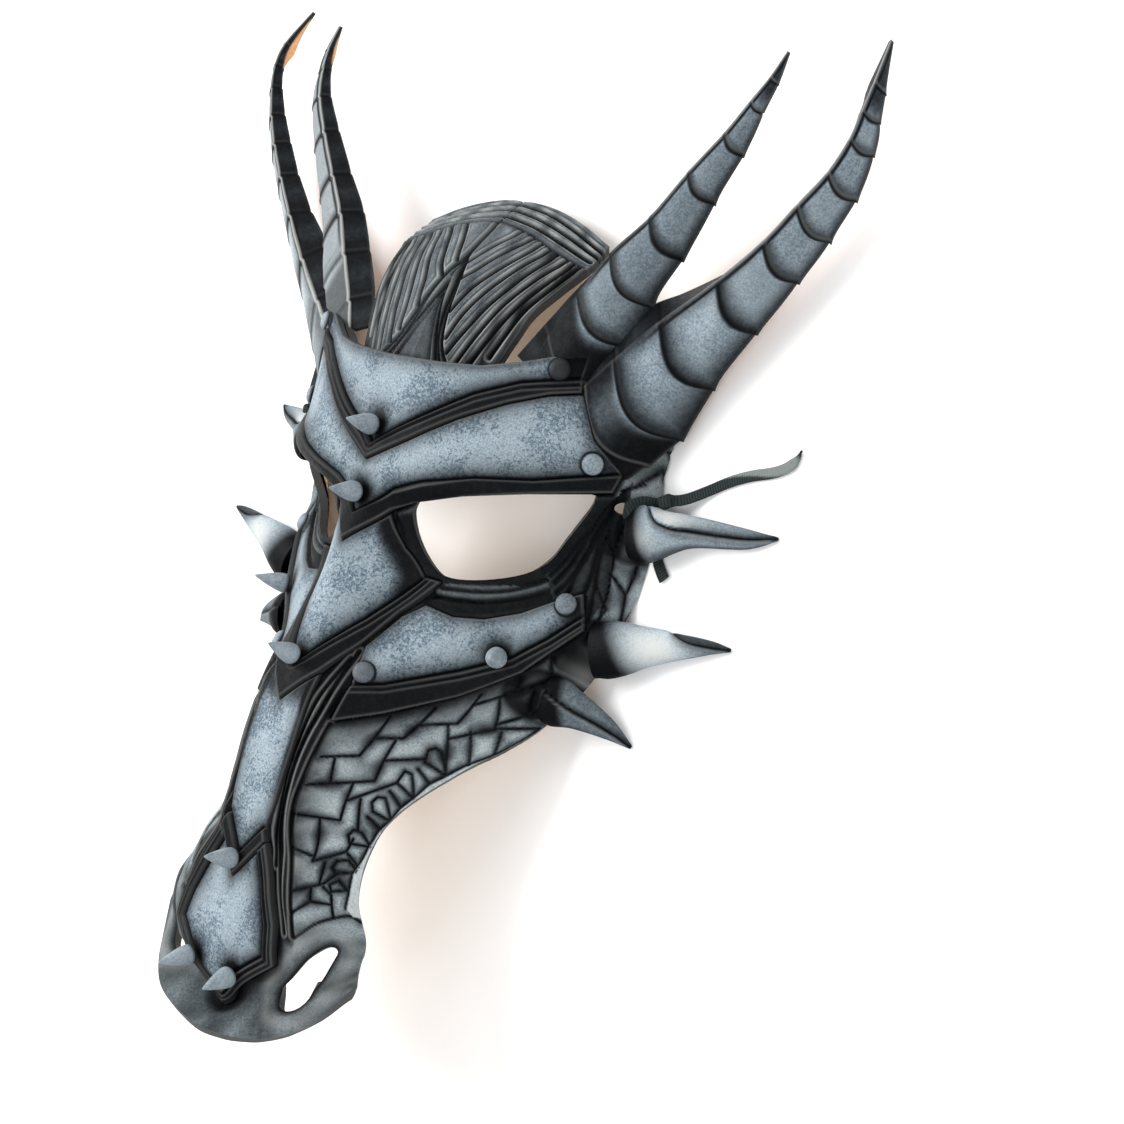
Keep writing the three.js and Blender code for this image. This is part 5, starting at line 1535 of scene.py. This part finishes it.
def turned_mesh(outline, place, direction, wobble=0.0, shade=0.0):
    """A stud turned from its outline, slightly out of round if asked."""
    outline = np.asarray(outline, float)
    axis = np.asarray(direction) / np.linalg.norm(direction)
    helper = np.array([1.0, 0, 0]) if abs(axis[0]) < 0.9 else np.array([0, 1.0, 0])
    a = np.cross(axis, helper)
    a /= np.linalg.norm(a)
    b = np.cross(axis, a)
    angle = np.linspace(0, 2 * math.pi, STUD_SIDES, endpoint=False)
    height = outline[:, 1][:, None]
    radius = outline[:, 0][:, None] * (1 + wobble * np.sin(angle * 3 + height * 0.4))
    points = (place + axis * height[..., None] + a * (radius * np.cos(angle))[..., None]
              + b * (radius * np.sin(angle))[..., None]).reshape(-1, 3)
    none = np.zeros(len(points))
    # Black near the foot is painted shade; shade adds the stud's own blackness
    dark = np.repeat(most(0.95 * bell(outline[:, 1], 0.75), shade), STUD_SIDES)
    values = {"dark": dark, "pale": none, "cut": none, "raw": none}
    return points, ring_faces(len(outline), STUD_SIDES), values


def stud_spot(x, v, height):
    """A place above the face and the direction out of it."""
    p = np.array([[x, v]], float)
    c = face.across(p[:, 1], p[:, 0])
    place = face.lifted(p[:, 1], c, np.array([height]))[0]
    return place, face.normal(p[:, 1], c)[0]


class MASK_OT_studs(bpy.types.Operator):
    """Cone studs and dome rivets"""
    bl_idname = "mask.studs"
    bl_label = "Studs"

    def execute(self, context):
        paint = finish("stud")
        for name, (x, v) in CONES.items():
            cone = turned_mesh(CONE_OUTLINE, *stud_spot(x, v, STUD_SEAT), wobble=0.012)
            piece(f"{name}_cone", f"cone_{name}", cone, paint, 60)
        for name, (x, v) in RIVETS.items():
            for side, sign in SIDES:
                # The right rivets get almost no black: a painted highlight on the side the key light falls on
                shade = STUD_SHADE[name] if side == "left" else 0.05
                rivet = turned_mesh(DOME_OUTLINE, *stud_spot(sign * x, v, STUD_SEAT), shade=shade)
                piece(f"{name}_rivet_{side}", f"rivet_{name}_{side}", rivet, paint, 60)
        return {"FINISHED"}


# Ribbons


def strip_mesh(centre, across, thick, width, point=0.0):
    """A flat ribbon along a centre line, with rounded edges and, if asked, a tapered end."""
    centre = np.asarray(centre, float)
    ahead = unit(np.gradient(centre, axis=0))
    across = unit(across - ahead * (across * ahead).sum(-1, keepdims=True))
    up = np.cross(ahead, across)
    length = np.concatenate([[0], np.cumsum(np.linalg.norm(np.diff(centre, axis=0), axis=-1))])
    u = np.linspace(-1, 1, 9)
    section = [(s * width / 2, thick / 2 * (1 - 0.7 * abs(s) ** 6)) for s in u]
    section += [(s * width / 2, -thick / 2 * (1 - 0.7 * abs(s) ** 6)) for s in u[::-1]]
    taper = np.clip((length[-1] - length) / point, 0.12, 1)[:, None] if point else 1.0
    points = np.stack([centre + across * a * taper + up * b for a, b in section], 1)
    rows, count = points.shape[:2]
    faces = ring_faces(rows, count)
    faces.append(list(range(count))[::-1])
    faces.append([(rows - 1) * count + j for j in range(count)])
    along = np.repeat(length, count)
    side = np.tile([a / (width / 2) for a, b in section], rows)
    return points.reshape(-1, 3), faces, {"along": along, "across": side, "pale": np.zeros(len(along))}


class MASK_OT_ribbons(bpy.types.Operator):
    """Ribbon ties: strap, knot and loose end on each side"""
    bl_idname = "mask.ribbons"
    bl_label = "Ribbons"

    def execute(self, context):
        cloth = finish("ribbon")
        for side, sign in SIDES:
            knot = self.knot(side, sign, cloth)
            route = smooth_line(RIBBON_ROUTES[side], 3)
            flat = np.cross(np.gradient(route, axis=0), [0, 0, 1.0])
            points, faces, values = strip_mesh(route, flat * sign, 0.9, STRIP_WIDTH, point=5)
            share = values["along"] / values["along"].max()
            values["pale"] = 0.8 * ramp(1.1 * (share - 0.4) / 0.25 - 0.6 - values["across"], 0.0, 0.3)
            values["pale"] *= 1 - ramp(share, 0.93, 0.97)
            ribbon = piece(f"ribbon_{side}", f"tie_ribbon_{side}", (points, faces, values), cloth)
        return {"FINISHED"}

    def knot(self, side, sign, cloth):
        """The strap from the hole, two loops and the lead to the loose end, as one piece."""
        centre = lay(KNOT)
        place, direction = stud_spot(TIE_SPOT[0], TIE_SPOT[1], 0)
        rim_v = TIE_SPOT[1] + 2.5
        over = [place - direction * 2.0, place + direction * 1.0]
        for c in (5.6, 5.85, 6.0):
            over.append(face.lifted(np.array([rim_v]), np.array([c]), np.array([1.3]))[0])
        over.append(centre - (centre - over[-1]) * 0.35)
        strap = smooth_line(over, 6)
        parts = [strip_mesh(strap, np.tile([0, 1.0, 0.1], (len(strap), 1)), 1.0, 5.2)]
        angles = np.linspace(0, 2 * math.pi, 25)
        for tilt, radius, width in ((0.2, 2.7, 3.6), (1.1, 2.3, 3.0)):
            axis_a = np.array([math.cos(tilt), math.sin(tilt) * 0.5, 0.4])
            axis_b = np.array([-0.2, -0.4, 0.9])
            axis_a /= np.linalg.norm(axis_a)
            axis_b -= axis_a * (axis_a @ axis_b)
            axis_b /= np.linalg.norm(axis_b)
            turn = np.cos(angles)[:, None] * axis_a + 0.85 * np.sin(angles)[:, None] * axis_b
            loop = centre + radius * turn
            wide = np.tile(np.cross(axis_a, axis_b), (len(loop), 1))
            parts.append(strip_mesh(loop, wide, 1.1, width))
        start, following = np.array(RIBBON_ROUTES[side][:2]) * (sign, 1, 1)
        ahead = (following - start) / np.linalg.norm(following - start)
        lead = smooth_line([centre + ahead * 0.5 + (0, 0, 1.5), (centre + start) / 2 + (0, 0, 1.2),
                            start + ahead * 0.9 - (0, 0, 0.4)], 4)
        beside = np.cross([0, 0, 1.0], ahead)
        parts.append(strip_mesh(lead, np.tile(beside, (len(lead), 1)), 0.9, STRIP_WIDTH))
        if side == "left":
            stub = smooth_line(SHORT_END, 4)
            parts.append(strip_mesh(stub, np.tile([0.8, 0.6, 0.0], (len(stub), 1)), 0.8, 4.2))
        points, faces, offset = [], [], 0
        values = {"along": [], "across": [], "pale": []}
        for p, f, vals in parts:
            points.append(p)
            faces.extend([[k + offset for k in face_ids] for face_ids in f])
            offset += len(p)
            for key in values:
                values[key].append(vals[key])
        points = np.vstack(points) * (sign, 1, 1)
        off_floor(points, 0.2)
        values = {k: np.concatenate(v) for k, v in values.items()}
        return piece(f"knot_{side}", f"tie_knot_{side}", (points, faces, values), cloth)


# Stage


class MASK_OT_stage(bpy.types.Operator):
    """Camera, floor and soft light"""
    bl_idname = "mask.stage"
    bl_label = "Stage"

    def execute(self, context):
        scene = context.scene
        stage = scene.mask_stage
        # The camera's directions: right, up and back, one to a column
        turn = Matrix(((0.70781, -0.21018, 0.67441), (0.23231, 0.97086, 0.05875),
                       (-0.66711, 0.11509, 0.73601)))
        brow_tip = Vector((0.0, -0.009, 0.0564))
        seen_at = Vector((-0.0744, 0.0085, -0.7))
        camera = bpy.data.cameras.new("camera")
        camera.lens = SENSOR * FOCAL / PICTURE
        camera.sensor_width = SENSOR
        camera.clip_start = 0.01
        holder = bpy.data.objects.new("camera", camera)
        holder.matrix_world = Matrix.Translation(brow_tip - turn @ seen_at) @ turn.to_4x4()
        scene.collection.objects.link(holder)
        scene.camera = holder
        size = 3.0
        corners = [(-size, -size, 0), (size, -size, 0), (size, size, 0), (-size, size, 0)]
        mesh = bpy.data.meshes.new("floor")
        mesh.from_pydata(corners, [], [(0, 1, 2, 3)])
        mesh.materials.append(floor_paint(stage))
        floor = bpy.data.objects.new("floor", mesh)
        scene.collection.objects.link(floor)
        self.lamp(scene, "key", (-0.75, 0.15, 0.85), (0, 0, 0.03), 0.7, stage.key)
        self.lamp(scene, "top", (0.1, 0.95, 0.8), (0, 0.03, 0.03), 0.8, stage.key * 0.35)
        self.lamp(scene, "fill", (0.7, -0.4, 0.9), (0, 0, 0.03), 0.9, stage.key * 0.42)
        world = scene.world or bpy.data.worlds.new("room")
        scene.world = world
        world.use_nodes = True
        background = world.node_tree.nodes["Background"]
        background.inputs["Color"].default_value = (1, 1, 1, 1)
        background.inputs["Strength"].default_value = stage.room
        scene.view_settings.view_transform = "Standard"
        return {"FINISHED"}

    def lamp(self, scene, name, place, target, size, power):
        """A soft square light that faces its target."""
        data = bpy.data.lights.new(name, "AREA")
        data.size = size
        data.energy = power
        obj = bpy.data.objects.new(name, data)
        obj.location = place
        obj.rotation_euler = (Vector(target) - Vector(place)).to_track_quat("-Z", "Y").to_euler()
        scene.collection.objects.link(obj)


class MASK_PT_panel(bpy.types.Panel):
    """Sizes and colours of the mask, and the pieces to build"""
    bl_label = "Mask"
    bl_idname = "MASK_PT_panel"
    bl_space_type = "VIEW_3D"
    bl_region_type = "UI"
    bl_category = "Mask"

    def draw(self, context):
        layout = self.layout
        scene = context.scene
        for group in (scene.mask_sizes, scene.mask_colours, scene.mask_stage):
            for name in group.__annotations__:
                layout.prop(group, name)
        for operator in OPERATORS:
            layout.operator(operator.bl_idname)


OPERATORS = (MASK_OT_stage, MASK_OT_ribbons, MASK_OT_face, MASK_OT_plates, MASK_OT_crest,
             MASK_OT_horns, MASK_OT_spikes, MASK_OT_studs)
CLASSES = (MaskSizes, MaskColours, MaskStage, *OPERATORS, MASK_PT_panel)


def register():
    for cls in CLASSES:
        bpy.utils.register_class(cls)
    bpy.types.Scene.mask_sizes = bpy.props.PointerProperty(type=MaskSizes)
    bpy.types.Scene.mask_colours = bpy.props.PointerProperty(type=MaskColours)
    bpy.types.Scene.mask_stage = bpy.props.PointerProperty(type=MaskStage)


def unregister():
    del bpy.types.Scene.mask_stage
    del bpy.types.Scene.mask_colours
    del bpy.types.Scene.mask_sizes
    for cls in reversed(CLASSES):
        bpy.utils.unregister_class(cls)


def main():
    register()
    bpy.ops.mask.stage()
    bpy.ops.mask.ribbons()
    bpy.ops.mask.face()
    bpy.ops.mask.plates()
    bpy.ops.mask.crest()
    bpy.ops.mask.horns()
    bpy.ops.mask.spikes()
    bpy.ops.mask.studs()


if __name__ == "__main__":
    main()
